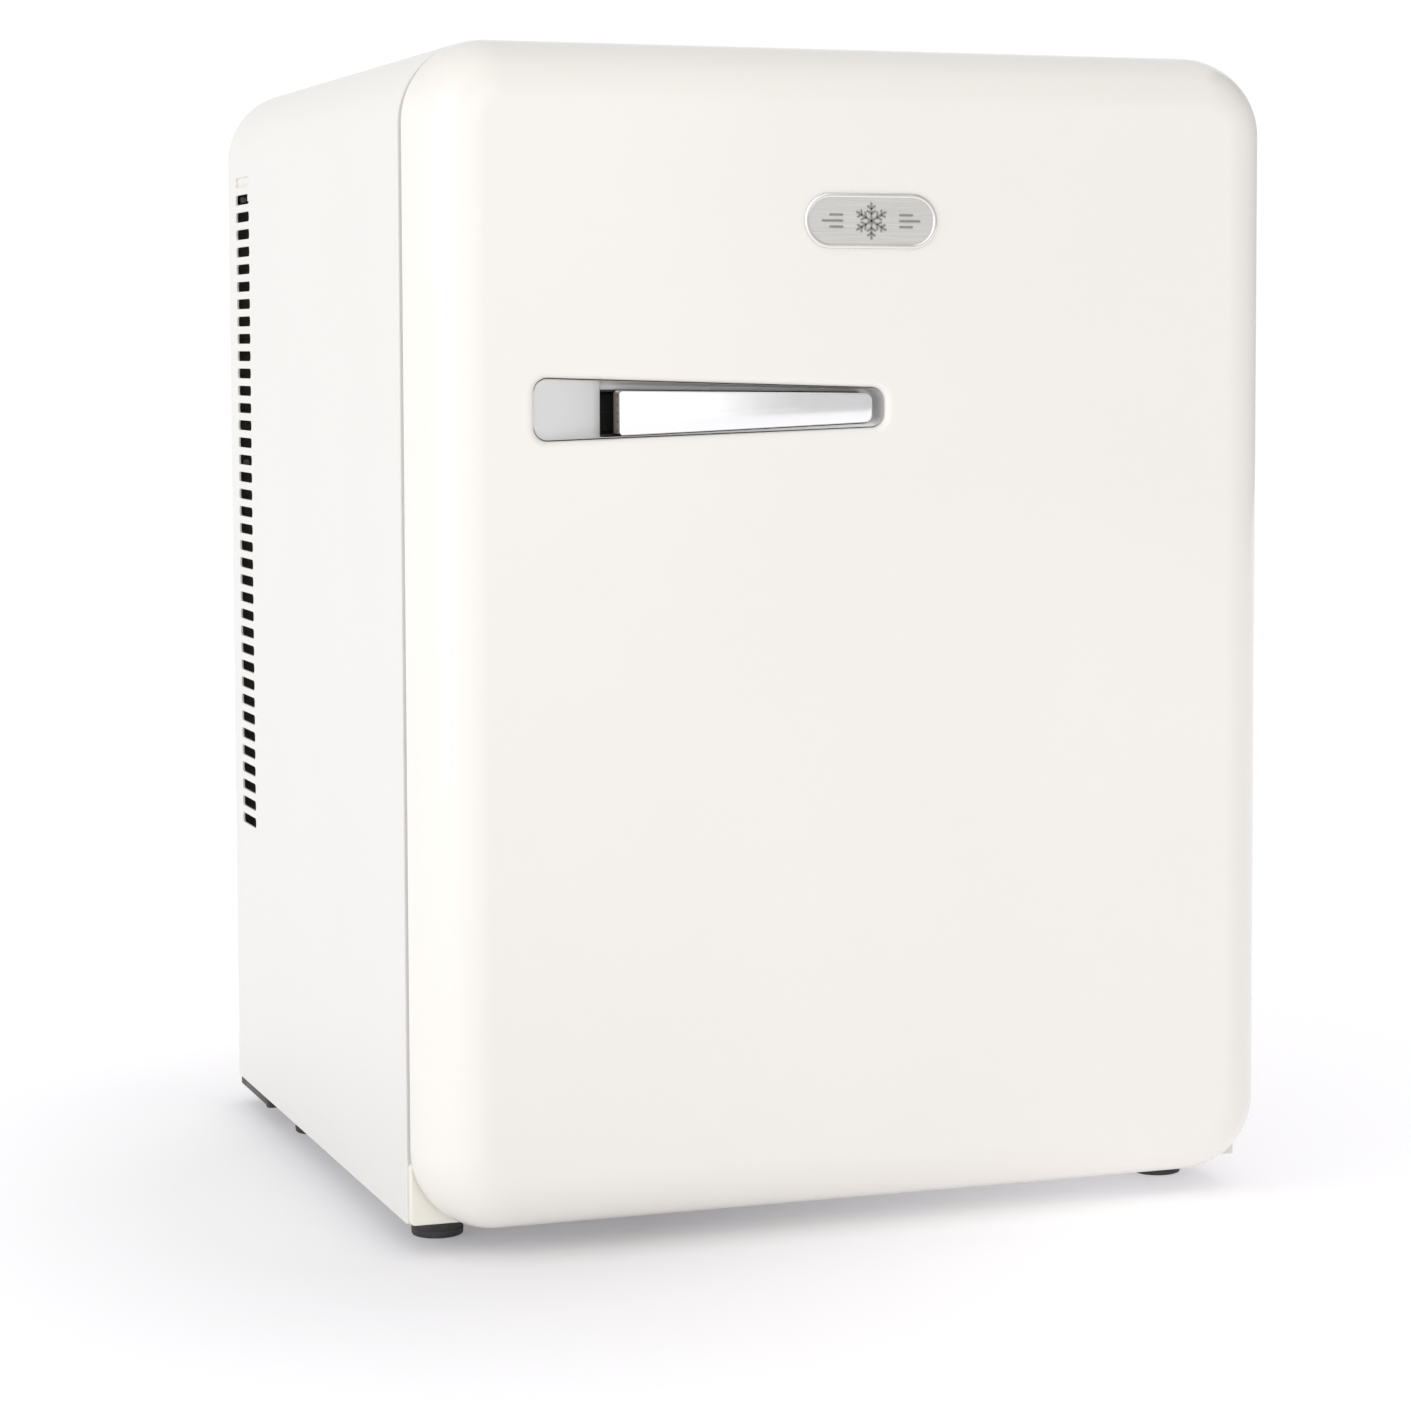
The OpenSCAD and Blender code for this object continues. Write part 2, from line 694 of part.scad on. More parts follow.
// Solid door body shrunk by inset: its section grows smaller towards the front, so that the
// edge is an elliptical quarter round over the whole thickness
module door_body(inset, back) hull()
    for (i = [0 : door_steps])
        let (a = 90 * i / door_steps, in = inset + door_edge * (1 - cos(a)),
             y = door_rear - (door_t - inset) * sin(a), r = max(corner_r - in, 6))
            translate([0, i == 0 ? back : y + eps, 0]) rotate([90, 0, 0]) linear_extrude(eps)
                round_rect([-half_w + in, door_bottom + in], [half_w - in, overall_h - in], r, $fn = 32);

// Outline with round corners, from the heights z0 at the left to the heights z1 at the right,
// grown by extra
module taper(x, z0, z1, r, extra) hull() {
    for (z = [z0[0] + r[0], z0[1] - r[0]]) translate([x[0] + r[0], z]) circle(r[0] + extra);
    for (z = [z1[0] + r[1], z1[1] - r[1]]) translate([x[1] - r[1], z]) circle(r[1] + extra);
}

// Lower and upper limit of a height h centred on mid
function span(mid, h) = [mid - h / 2, mid + h / 2];

module recess_outline(extra)
    taper([recess_left, recess_left + recess_l], span(recess_mid, recess_h1), span(recess_mid, recess_h2),
          recess_r, extra);

// Lower and upper edge of the handle bar at x
function bar_edges(x) = bar_z0 + (bar_z1 - bar_z0) * (x - bar_x[0]) / (bar_x[1] - bar_x[0]);

// Recess with a sloping entry at its left end, a ledge round the bar and a finger slot behind the
// bar, grown by extra on every side but the front
module recess_space(extra) {
    intersection() {
        along_y(front_y - through, ledge_y + extra) recess_outline(extra);
        translate([0, 0, recess_mid - recess_h1]) linear_extrude(2 * recess_h1)
            polygon([[recess_left - extra - eps, front_y - through],
                     [recess_left - extra - eps, door_front + 1 + 0.8 * extra],
                     [ramp_end - extra, door_front + ramp_depth + extra], [ramp_end - extra, ledge_y + extra],
                     [recess_left + recess_l + extra, ledge_y + extra],
                     [recess_left + recess_l + extra, front_y - through]]);
    }
    along_y(ledge_y - eps, tray_floor + extra)
        taper(slot_x, bar_edges(slot_x[0]) + slot_clear * [-1, 1], bar_edges(slot_x[1]) + slot_clear * [-1, 1],
              [0.5, 4], extra);
}

module door_skin() color(steel_white) difference() {
    door_body(0, door_rear);
    door_body(skin_t, door_rear + through);
    hinge_cuts();
    recess_space(tray_wall);
}

module door_foam() color("#e8d9a8") difference() {
    intersection() {
        door_body(skin_t, door_rear + through);
        block([-half_w, front_y, 0], [half_w, door_rear - panel_t, overall_h]);
    }
    hinge_cuts();
    recess_space(tray_wall);
    for (x = post_x) rod_y(x, post_z, 3 + fit, ledge_y, ledge_y + tray_wall + 1.6 + fit);
}

module door_liner() color(liner_white) {
    difference() {
        along_y(door_rear - panel_t, door_rear)
            round_rect([-half_w + panel_in, door_bottom + panel_in], [half_w - panel_in, overall_h - panel_in],
                       corner_r - panel_in);
        gasket_ring(door_rear - gasket_seat, door_rear + through, -fit, gasket_w + 2 * fit);
        hinge_cuts();
    }
    for (side = [-1, 1]) {
        along_x(side > 0 ? rib_in : -rib_out, side > 0 ? rib_out : -rib_in) rib_outline();
        for (z = rack_heights)
            block([side > 0 ? rib_in - 2.8 : -rib_in - eps, lug_y[0], z + lug_low],
                  [side > 0 ? rib_in + eps : -rib_in + 2.8, lug_y[1], z + lug_low + lug_h]);
    }
}

// Side view of the ribs that carry the racks
module rib_outline() {
    translate([door_rear - eps, 75]) square([12, 395]);
    round_rect([door_rear - eps, 75], [-135, 470], 10);
}

// Frame of constant width that follows the door, between y0 and y1
module gasket_ring(y0, y1, inset, width) difference() {
    along_y(y0, y1)
        round_rect([-gasket_out + inset, gasket_bottom + inset], [gasket_out - inset, gasket_top - inset], 10);
    along_y(y0 - through, y1 + through)
        round_rect([-gasket_out + inset + width, gasket_bottom + inset + width],
                   [gasket_out - inset - width, gasket_top - inset - width], 4);
}

// Hollow magnetic seal
module door_gasket() color("#d9d8d0") difference() {
    gasket_ring(door_rear - gasket_seat, cab_front - gasket_clear, 0, gasket_w);
    gasket_ring(door_rear + 2.6, cab_front - gasket_clear - 0.8, 2.5, gasket_w - 5);
    for (inset = [-1, gasket_w - 1.2])
        gasket_ring(door_rear + 0.8, door_rear + 1.8, inset, 2.2);
}

module gasket_magnets() color("#404040")
    gasket_ring(door_rear + 2.8, cab_front - gasket_clear - 0.9, 2.7, gasket_w - 5.4);

// ---------------------------------------------------------------- handle and badge

module handle_tray() color("#cfcdc6") difference() {
    intersection() {
        recess_space(tray_wall);
        block([-half_w, door_front, 0], [half_w, door_rear, overall_h]);
    }
    recess_space(0);
    for (x = post_x) rod_y(x, post_z, 1.5 + fit, ledge_y - through, door_rear);
}

// Tapered bar, held at its narrow end by a post; the fingers go behind its wide end
module handle_bar() color("#e4e4e4") difference() {
    union() {
        along_y(bar_front, bar_back) taper(bar_x, bar_z0, bar_z1, bar_r, 0);
        block([post_x[0] - 4, bar_back - eps, post_z - 4], [post_x[1] + 4, ledge_y, post_z + 4]);
    }
    for (x = post_x) rod_y(x, post_z, 1.5 + fit, ledge_y - 8, ledge_y + through);
}

module handle_screws() color("silver") for (x = post_x) {
    rod_y(x, post_z, 1.5, ledge_y - 8, ledge_y + tray_wall + eps);
    rod_y(x, post_z, 3, ledge_y + tray_wall, ledge_y + tray_wall + 1.6);
}

module badge_outline(inset) translate([0, badge_z])
    round_rect([inset, inset] - badge_size / 2, badge_size / 2 - [inset, inset], badge_size[1] / 2 - inset - eps);

module badge_plate() color("silver") difference() {
    along_y(front_y, door_front) badge_outline(0);
    along_y(front_y - through, front_y + badge_step) badge_outline(2);
}

// Six-armed snow crystal in relief
module badge_emblem() color("gray") along_y(front_y, front_y + badge_step) translate([0, badge_z])
    for (a = [0 : 60 : 300]) rotate(a) {
        translate([-0.5, 0]) square([1, 8]);
        for (side = [-1, 1], at = [3, 5.4]) translate([0, at]) rotate(side * 55) square([0.9, 2.6]);
    }

// ---------------------------------------------------------------- racks

// Level rectangle of the rack's hollow at z, drawn in by inset on every side
module rack_layer(z, inset, h)
    block([-rack_half + rack_wall + inset, rack_back + rack_floor + inset, z],
          [rack_half - rack_wall - inset, rack_front - rack_floor - inset, z + h]);

// Open bottle rack with sloping lower edges inside, and notches that drop over the lugs of the
// door ribs
module rack(z) color("#f4f4f2") difference() {
    block([-rack_half, rack_back, z], [rack_half, rack_front, z + rack_h]);
    rack_layer(z + rack_floor + rack_slope, 0, rack_h);
    hull() {
        rack_layer(z + rack_floor, rack_slope, eps);
        rack_layer(z + rack_floor + rack_slope, 0, eps);
    }
    for (side = [-1, 1])
        block([side > 0 ? rack_half - rack_wall - eps : -rack_half - through, lug_y[0] - 0.5, z - through],
              [side > 0 ? rack_half + through : -rack_half + rack_wall + eps, lug_y[1] + 0.5,
               z + lug_low + lug_h + 0.3]);
}

// Chrome wire over the front of a rack
module rack_rail(z) color("#e0e0e0") {
    x = rack_half - rail_wire;
    y = rack_front - 3;
    top = z + rack_h + rail_rise;
    rod_x(y, top, rail_wire, -x, x);
    for (side = [-1, 1]) {
        rod_z(side * x, y, rail_wire, z + rack_h, top);
        translate([side * x, y, top]) sphere(rail_wire);
    }
}

// ---------------------------------------------------------------- nodes

outer_shell();
base_plate();
bottom_front_rail();
inner_liner();
cabinet_foam();
inner_back_plate();
duct_ceiling_block();
rear_cover();
rear_cover_screws();
rear_base_frame();
rear_feet();
rear_foot_screws();
front_foot_inserts();
front_foot(-1);  // front_foot_left
front_foot(1);  // front_foot_right
hinge_bracket(upper_tongue, upper_tongue, cab_front + liner_t);  // hinge_bracket_upper
hinge_bracket(lower_tongue, lower_tongue + tongue_t - bracket_h, rail_back);  // hinge_bracket_lower
hinge_pin(upper_tongue + tongue_t - pin_l);  // hinge_pin_upper
hinge_pin(lower_tongue);  // hinge_pin_lower
hinge_screws();
hot_spreader_block();
hot_heatsink();
hot_fan_frame();
hot_fan_rotor();
peltier_module();
cold_block();
cold_heatsink();
cold_fan_frame();
cold_fan_rotor();
cold_air_cover();
cold_cover_screws();
thermostat();
thermostat_knob();
lamp_housing();
lamp_board();
lamp_lens();
power_supply_case();
power_supply_board();
power_inlet();
inlet_pins();
shelf(shelf_heights[0]);  // shelf_lower
shelf_guard(shelf_heights[0]);  // shelf_lower_guard
shelf(shelf_heights[1]);  // shelf_upper
shelf_guard(shelf_heights[1]);  // shelf_upper_guard
door_skin();
door_foam();
door_liner();
door_gasket();
gasket_magnets();
hinge_bush(upper_tongue - tongue_clear, false);  // hinge_bush_upper
hinge_bush(lower_tongue + tongue_t + tongue_clear, true);  // hinge_bush_lower
handle_tray();
handle_bar();
handle_screws();
badge_plate();
badge_emblem();
rack(rack_heights[0]);  // rack_lower
rack_rail(rack_heights[0]);  // rack_lower_rail
rack(rack_heights[1]);  // rack_upper
rack_rail(rack_heights[1]);  // rack_upper_rail
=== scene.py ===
"""Looks of the mini fridge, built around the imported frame.

Lengths in the helpers and pieces are millimetres in the row frame; meshes are scaled to metres
when they are made. +X right, +Y rear, +Z up.
"""

from math import acos, atan2, cos, pi, radians, sin, sqrt, tan

import bmesh
import bpy
from mathutils import Matrix, Vector


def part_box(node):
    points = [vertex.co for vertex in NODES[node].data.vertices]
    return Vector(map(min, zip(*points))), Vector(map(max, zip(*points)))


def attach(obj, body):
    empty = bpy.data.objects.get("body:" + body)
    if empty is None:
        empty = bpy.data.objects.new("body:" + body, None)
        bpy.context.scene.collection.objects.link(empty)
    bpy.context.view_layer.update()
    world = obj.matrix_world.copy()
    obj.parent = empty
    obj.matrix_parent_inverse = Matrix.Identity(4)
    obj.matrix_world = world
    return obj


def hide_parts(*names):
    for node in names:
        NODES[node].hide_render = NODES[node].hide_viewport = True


MM = 0.001
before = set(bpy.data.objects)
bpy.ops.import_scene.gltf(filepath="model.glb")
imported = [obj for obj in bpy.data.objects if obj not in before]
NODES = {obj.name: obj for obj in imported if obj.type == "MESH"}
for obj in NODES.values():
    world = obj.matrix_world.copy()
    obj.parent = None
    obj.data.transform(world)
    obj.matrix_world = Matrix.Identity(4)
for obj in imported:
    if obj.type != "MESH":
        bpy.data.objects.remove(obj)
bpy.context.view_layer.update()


def box(node):
    """Lowest and highest corner of a CAD node, in millimetres."""
    low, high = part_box(node)
    return low / MM, high / MM


def feed(tree, node, values):
    """Gives each input of a node its value, or links another node's output to it."""
    for socket, value in values.items():
        if isinstance(value, bpy.types.NodeSocket):
            tree.links.new(value, node.inputs[socket])
        else:
            node.inputs[socket].default_value = value


def add_node(tree, kind, values, result, **settings):
    """Adds a shader node, and hands out one of its outputs."""
    node = tree.nodes.new("ShaderNode" + kind)
    for key, value in settings.items():
        setattr(node, key, value)
    feed(tree, node, values)
    return node.outputs[result]


def map_range(tree, value, ends, low, high, **settings):
    """Value mapped from the range between the ends onto the range low to high."""
    limits = {"From Min": ends[0], "From Max": ends[1], "To Min": low, "To Max": high}
    return add_node(tree, "MapRange", {"Value": value, **limits}, "Result", **settings)


def middle(low, high):
    """Centre between two corners."""
    return [(a + b) / 2 for a, b in zip(low, high)]


# ---- camera, light, floor

CAMERA_PLACE = Vector((-0.5882, -1.7061, 0.3944))
CAMERA_TURN, CAMERA_TILT, CAMERA_ROLL = (radians(a) for a in (20.22, 3.92, -0.117))
CAMERA_LENS = 94.57
CAMERA_SHIFT = (-0.067, -0.0748)


def make_camera():
    """Camera at the photograph's place: left of the front, a little above the middle."""
    turn, tilt, roll = CAMERA_TURN, CAMERA_TILT, CAMERA_ROLL
    forward = Vector((sin(turn) * cos(tilt), cos(turn) * cos(tilt), -sin(tilt)))
    right = Vector((cos(turn), -sin(turn), 0))
    up = right.cross(forward)
    side = right * cos(roll) + up * sin(roll)
    head = up * cos(roll) - right * sin(roll)
    data = bpy.data.cameras.new("camera")
    data.sensor_width = 36
    data.lens = CAMERA_LENS
    data.shift_x, data.shift_y = CAMERA_SHIFT
    camera = bpy.data.objects.new("camera", data)
    bpy.context.scene.collection.objects.link(camera)
    axes = Matrix((side, head, -forward)).transposed()
    camera.matrix_world = Matrix.Translation(CAMERA_PLACE) @ axes.to_4x4()
    bpy.context.scene.camera = camera


def area_light(name, place, target, size, power):
    """Softbox that faces the target, in metres and watts."""
    data = bpy.data.lights.new(name, "AREA")
    data.shape = "RECTANGLE"
    data.size, data.size_y = size
    data.energy = power
    light = bpy.data.objects.new(name, data)
    bpy.context.scene.collection.objects.link(light)
    light.location = place
    light.rotation_mode = "QUATERNION"
    light.rotation_quaternion = (Vector(target) - Vector(place)).to_track_quat("-Z", "Y")


BACKDROP = 1.02
FRONT = 1.33
GREY_SIDE = (0.985, -0.174, 0)
GREY_WALL = 0.50
GREY_CEILING = 0.75


def make_world():
    """White backdrop, brighter room in front of it, a grey wall at the right, a greyer ceiling."""
    world = bpy.data.worlds.new("studio")
    world.use_nodes = True
    tree = world.node_tree

    def fade(value, ends, low, high):
        return map_range(tree, value, ends, low, high, interpolation_type="SMOOTHSTEP")

    def product(a, b):
        return add_node(tree, "Math", {0: a, 1: b}, "Value", operation="MULTIPLY")

    direction = add_node(tree, "TexCoord", {}, "Generated")
    height = add_node(tree, "SeparateXYZ", {"Vector": direction}, "Z")
    depth = height.node.outputs["Y"]
    sides = {0: direction, 1: GREY_SIDE}
    rightness = add_node(tree, "VectorMath", sides, "Value", operation="DOT_PRODUCT")
    wall = fade(rightness, (0.452, 0.515), 1, GREY_WALL)
    ceiling = fade(height, (0.16, 0.5), 1, GREY_CEILING)
    strength = product(fade(depth, (-0.2, 0.3), FRONT, BACKDROP), product(wall, ceiling))
    feed(tree, tree.nodes["Background"], {"Color": (1, 1, 1, 1), "Strength": strength})
    bpy.context.scene.world = world


def make_studio():
    """Light table in a white room, with a large softbox at the left and a weak one in front. The table's
    glow is dimmed round the object as a painted shadow.
    """
    make_world()
    bpy.context.scene.view_settings.view_transform = "Standard"
    area_light("left_box", (-2.0, -0.75, 0.85), (-0.2, -0.19, 0.5), (1.0, 1.7), 6.4)
    area_light("front_box", (-0.5, -2.6, 1.5), (0, 0, 0.26), (1.6, 1.6), 2.5)
    floor = Shape()
    floor.loft([[(-6000, -6000, 0), (6000, -6000, 0), (6000, 9000, 0), (-6000, 9000, 0)]], (True, False))
    glow_with_painted_shadow(find_look("light_table"))
    floor.object("floor", "light_table")


# Painted shadow on the floor: the table's glow drops to GLOW_NEAR round a point left of the object and
# rises to GLOW_FAR further out.
PAINTED_SHADOW_STRETCH = (1.4, 1, 1)
PAINTED_SHADOW_CENTRE = (-0.24, -0.05, 0)
PAINTED_SHADOW_REACH = (0.15, 0.46)
GLOW_NEAR, GLOW_FAR = 0.21, 0.44


def glow_with_painted_shadow(look):
    """Glow of the table from below, dimmed round the object: a painted shadow on the floor."""
    wide = {0: look.place, 1: PAINTED_SHADOW_STRETCH}
    stretched = add_node(look.tree, "VectorMath", wide, "Vector", operation="MULTIPLY")
    centre = {0: stretched, 1: PAINTED_SHADOW_CENTRE}
    away = add_node(look.tree, "VectorMath", centre, "Value", operation="DISTANCE")
    look.set({"Emission Strength": map_range(look.tree, away, PAINTED_SHADOW_REACH, GLOW_NEAR, GLOW_FAR)})


# ---- shapes

ACROSS = {"x": (1, 2), "y": (0, 2), "z": (0, 1)}
ALONG = {"x": 0, "y": 1, "z": 2}


def polar(r, a, x=0, y=0):
    """Point at distance r and angle a from a centre."""
    return x + r * cos(a), y + r * sin(a)


def rect_ring(low, high, radii, steps=8):
    """Rounded rectangle, counter-clockwise from the lower right. radii: lower and upper corners."""
    r_low, r_high = radii if isinstance(radii, tuple) else (radii, radii)
    corners = (
        (high[0] - r_low, low[1] + r_low, r_low, -90),
        (high[0] - r_high, high[1] - r_high, r_high, 0),
        (low[0] + r_high, high[1] - r_high, r_high, 90),
        (low[0] + r_low, low[1] + r_low, r_low, 180),
    )
    ring = []
    for x, y, r, start in corners:
        for i in range(steps + 1):
            ring.append(polar(r, radians(start + 90 * i / steps), x, y))
    return ring


def circle_ring(r, steps=48):
    return [polar(r, 2 * pi * i / steps) for i in range(steps)]


def at(ring, axis, level, centre=(0, 0)):
    """A flat ring placed across an axis at a level. The two other axes keep their order."""
    a, b = centre
    if axis == "x":
        return [(level, p + a, q + b) for p, q in ring]
    if axis == "y":
        return [(p + a, level, q + b) for p, q in ring]
    return [(p + a, q + b, level) for p, q in ring]


def inset_ring(low, high, inset, axis, level, corner, steps=8):
    """Rounded rectangle a little inside the outline that a box shows along an axis."""
    i, j = ACROSS[axis]
    a, b = (low[i] + inset, low[j] + inset), (high[i] - inset, high[j] - inset)
    return at(rect_ring(a, b, corner, steps), axis, level)


def quarter(r, steps=4):
    """Steps along a quarter round: (distance in from the side, distance down from the top)."""
    turns = [pi / 2 * i / steps for i in range(steps + 1)]
    return [(r * (1 - cos(a)), r * (1 - sin(a))) for a in turns]


class Shape:
    """Points and faces of one mesh, gathered from lofts, lathes, tubes and slabs."""

    def __init__(self):
        self.points, self.faces, self.slots = [], [], []

    def loft(self, rings, caps=(True, True), wrap=True, loop=False, slot=0):
        """Skin over rings of equal length. wrap closes each ring, loop joins the last ring to the
        first, and then there are no caps."""
        start, n = len(self.points), len(rings[0])
        for ring in rings:
            self.points.extend(ring)
        last = len(rings) if loop else len(rings) - 1
        for k in range(last):
            a, b = start + k * n, start + (k + 1) % len(rings) * n
            for i in range(n if wrap else n - 1):
                j = (i + 1) % n
                self.faces.append((a + i, a + j, b + j, b + i))
                self.slots.append(slot)
        for capped, k in zip(caps, (0, len(rings) - 1)):
            if capped and not loop:
                self.faces.append(tuple(range(start + k * n, start + k * n + n)))
                self.slots.append(slot)

    def sheet(self, lines, slot=0):
        """Skin without ends over open lines of equal length."""
        self.loft(lines, (False, False), wrap=False, slot=slot)

    def prism(self, outline, axis, levels, centre=(0, 0)):
        """Straight body between two levels along an axis."""
        self.loft([at(outline, axis, level, centre) for level in levels])

    def lathe(self, profile, centre, axis="z", steps=48, slot=0):
        """Turns a profile of (radius, level) about an axis through centre."""
        hub, start = [centre[k] for k in ACROSS[axis]], centre[ALONG[axis]]
        rings = [at(circle_ring(max(r, 0.01), steps), axis, start + h, hub) for r, h in profile]
        self.loft(rings, slot=slot)

    def slab(self, low, high, axis="z", corner=2.0, edge=0.6, steps=3, slot=0):
        """Box with round corners seen along axis and rounded edges at both ends. x may run down."""
        low, high = (min(low[0], high[0]), *low[1:]), (max(low[0], high[0]), *high[1:])
        k = ALONG[axis]
        side = min(high[i] - low[i] for i in ACROSS[axis]) / 2
        corner = min(corner, side * 0.999)
        edge = min(edge, corner * 0.98, (high[k] - low[k]) / 2 * 0.999)
        near = [(i, low[k] + d) for i, d in reversed(quarter(edge, steps))]
        far = [(i, high[k] - d) for i, d in quarter(edge, steps)]
        rings = [inset_ring(low, high, i, axis, y, corner - i, steps + 2) for i, y in near + far]
        self.loft(rings, slot=slot)

    def tube(self, path, radius, loop=False, sides=12, slot=0):
        """Round tube along a path of points, with half-round ends where it is open."""
        points = [Vector(p) for p in path]
        count = len(points)
        tangents = []
        for i in range(count):
            before = points[i - 1] if loop or i else points[0]
            after = points[(i + 1) % count] if loop or i < count - 1 else points[-1]
            tangents.append((after - before).normalized())
        side = tangents[0].orthogonal().normalized()
        rings = []
        stations = [(point, tangent, radius) for point, tangent in zip(points, tangents)]

        def cap(k, sign, a):
            """Station of the half-round end, past the first or last point."""
            past = points[k] + tangents[k] * (sign * radius) * sin(a)
            return past, tangents[k], radius * cos(a)

        if not loop:
            turns = [pi / 2 * j / 3 for j in (1, 2)]
            stations = [cap(0, -1, a) for a in turns[::-1]] + stations + [cap(-1, 1, a) for a in turns]
        for point, tangent, r in stations:
            side = (side - tangent * side.dot(tangent)).normalized()
            over = tangent.cross(side)
            turns = [2 * pi * j / sides for j in range(sides)]
            rings.append([tuple(point + (side * cos(a) + over * sin(a)) * r) for a in turns])
        self.loft(rings, loop=loop, slot=slot)

    def object(self, name, *looks, sharp=35):
        """The mesh as an object in metres, with welded points, outward faces and its materials."""
        mesh = bpy.data.meshes.new(name)
        mesh.from_pydata([Vector(p) * MM for p in self.points], [], self.faces)
        for look in looks:
            mesh.materials.append(find_look(look).material)
        mesh.polygons.foreach_set("material_index", self.slots)
        work = bmesh.new()
        work.from_mesh(mesh)
        bmesh.ops.remove_doubles(work, verts=work.verts, dist=0.002 * MM)
        bmesh.ops.recalc_face_normals(work, faces=work.faces)
        work.to_mesh(mesh)
        work.free()
        obj = bpy.data.objects.new(name, mesh)
        bpy.context.scene.collection.objects.link(obj)
        shade(obj, sharp)
        return obj


def bent_path(corners, radius, steps=6, loop=False):
    """Points along straight stretches with round bends at the corners."""
    corners = [Vector(c) for c in corners]
    count, path = len(corners), []
    for i, corner in enumerate(corners):
        if not loop and i in (0, count - 1):
            path.append(corner)
            continue
        back = (corners[i - 1] - corner).normalized()
        ahead = (corners[(i + 1) % count] - corner).normalized()
        half = back.angle(ahead) / 2
        reach = radius / tan(half)
        centre = corner + (back + ahead).normalized() * (radius / sin(half))
        a, b = corner + back * reach - centre, corner + ahead * reach - centre
        sweep = a.angle(b)
        for j in range(steps + 1):
            t = j / steps
            spoke = a * sin((1 - t) * sweep) + b * sin(t * sweep)
            path.append(centre + spoke / sin(sweep))
    return path


def shade(obj, sharp=35):
    """Smooth shading that breaks where two faces meet at more than the sharp angle."""
    mesh = obj.data
    mesh.polygons.foreach_set("use_smooth", [True] * len(mesh.polygons))
    mesh.set_sharp_from_angle(angle=radians(sharp))


def settle(obj):
    """Applies an object's modifiers to its mesh."""
    bpy.context.view_layer.update()
    depsgraph = bpy.context.evaluated_depsgraph_get()
    mesh = bpy.data.meshes.new_from_object(obj.evaluated_get(depsgraph))
    obj.modifiers.clear()
    obj.data = mesh


def carve(obj, shape):
    """Cuts a shape out of an object."""
    cutter = shape.object("cutter")
    cut = obj.modifiers.new("cut", "BOOLEAN")
    cut.operation = "DIFFERENCE"
    cut.solver = "EXACT"
    cut.object = cutter
    settle(obj)
    bpy.data.objects.remove(cutter)


def round_edges(obj, width, angle):
    """Bevel on the edges where faces meet at more than the angle."""
    bevel = obj.modifiers.new("round", "BEVEL")
    bevel.width = width * MM
    bevel.segments = 2
    bevel.limit_method = "ANGLE"
    bevel.angle_limit = radians(angle)


def even_out(obj):
    """Shading of flat faces that the bend beside them doesn't disturb."""
    even = obj.modifiers.new("even", "WEIGHTED_NORMAL")
    even.keep_sharp = True
    return even


def soften(obj, width, angle=50):
    """Rounds the sharp edges by width millimetres and evens out the shading of flat faces."""
    round_edges(obj, width, angle)
    settle(obj)
    shade(obj)
    even_out(obj).weight = 90


def place(obj, body, slot, *replaced):
    """Hands a finished piece to the frame."""
    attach(obj, body)
    if replaced:
        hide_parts(*replaced)


# ---- materials


class Look:
    """One node material, built from noise layers in the row frame's own coordinates."""

    def __init__(self, name, tone, roughness, metallic):
        self.material = bpy.data.materials.new(name)
        self.material.use_nodes = True
        self.material.diffuse_color = (*tone, 1)
        self.tree = self.material.node_tree
        self.tone = tone
        self.set({"Base Color": (*tone, 1), "Roughness": roughness, "Metallic": metallic})
        self.place = add_node(self.tree, "TexCoord", {}, "Object")

    def set(self, values):
        feed(self.tree, self.tree.nodes["Principled BSDF"], values)

    def pattern(self, size, detail, stretch=None):
        """Noise with features of about size millimetres, or cells where the detail is a kind of cell."""
        scale = 1 / (size * MM)
        if isinstance(detail, str):
            values = {"Vector": self.place, "Scale": scale}
            return add_node(self.tree, "TexVoronoi", values, "Distance", feature=detail)
        place = self.place
        if stretch:
            place = add_node(self.tree, "Mapping", {"Vector": place, "Scale": stretch}, "Vector")
        values = {"Vector": place, "Scale": scale, "Detail": detail}
        return add_node(self.tree, "TexNoise", values, "Fac")

    def tint(self, pattern, other, ends=(0.3, 0.7)):
        """Base colour that moves to another one, or to a share of its own, as the pattern rises."""
        if not isinstance(other, tuple):
            other = tuple(c * other for c in self.tone)
        share = map_range(self.tree, self.pattern(*pattern), ends, 0, 1)
        values = {"Factor": share, "A": (*self.tone, 1), "B": (*other, 1)}
        self.set({"Base Color": add_node(self.tree, "Mix", values, "Result", data_type="RGBA")})

    def vary(self, pattern, low, high):
        """Roughness that follows the pattern."""
        self.set({"Roughness": map_range(self.tree, self.pattern(*pattern), (0.3, 0.7), low, high)})

    def bump(self, pattern, depth, strength):
        """Relief of depth millimetres."""
        values = {"Height": self.pattern(*pattern), "Distance": depth * MM, "Strength": strength}
        self.set({"Normal": add_node(self.tree, "Bump", values, "Normal")})


def enamel(tone):
    """Baked enamel: even colour, faint orange peel. The gloss is a coat."""
    return tone, 0.3, 0, ((140, 2), 0.985), None, ((6, 1), 0.003, 0.3)


def moulded(tone, roughness, grain, depth):
    """Moulded plastic: slight flow marks in the colour, fine eroded grain."""
    shine = ((30, 2), roughness * 0.96, roughness * 1.04)
    return tone, roughness, 0, ((60, 2, (1, 1, 0.5)), 0.98), shine, ((grain, 2), depth, 0.4)


def plated(tone, low, high):
    """Bright plating: mirror surface with faint polishing marks and a thin haze."""
    return tone, low, 1, ((40, 2), 0.97), ((9, 5), low, high), ((0.5, 2, (0.1, 1, 1)), 0.001, 0.25)


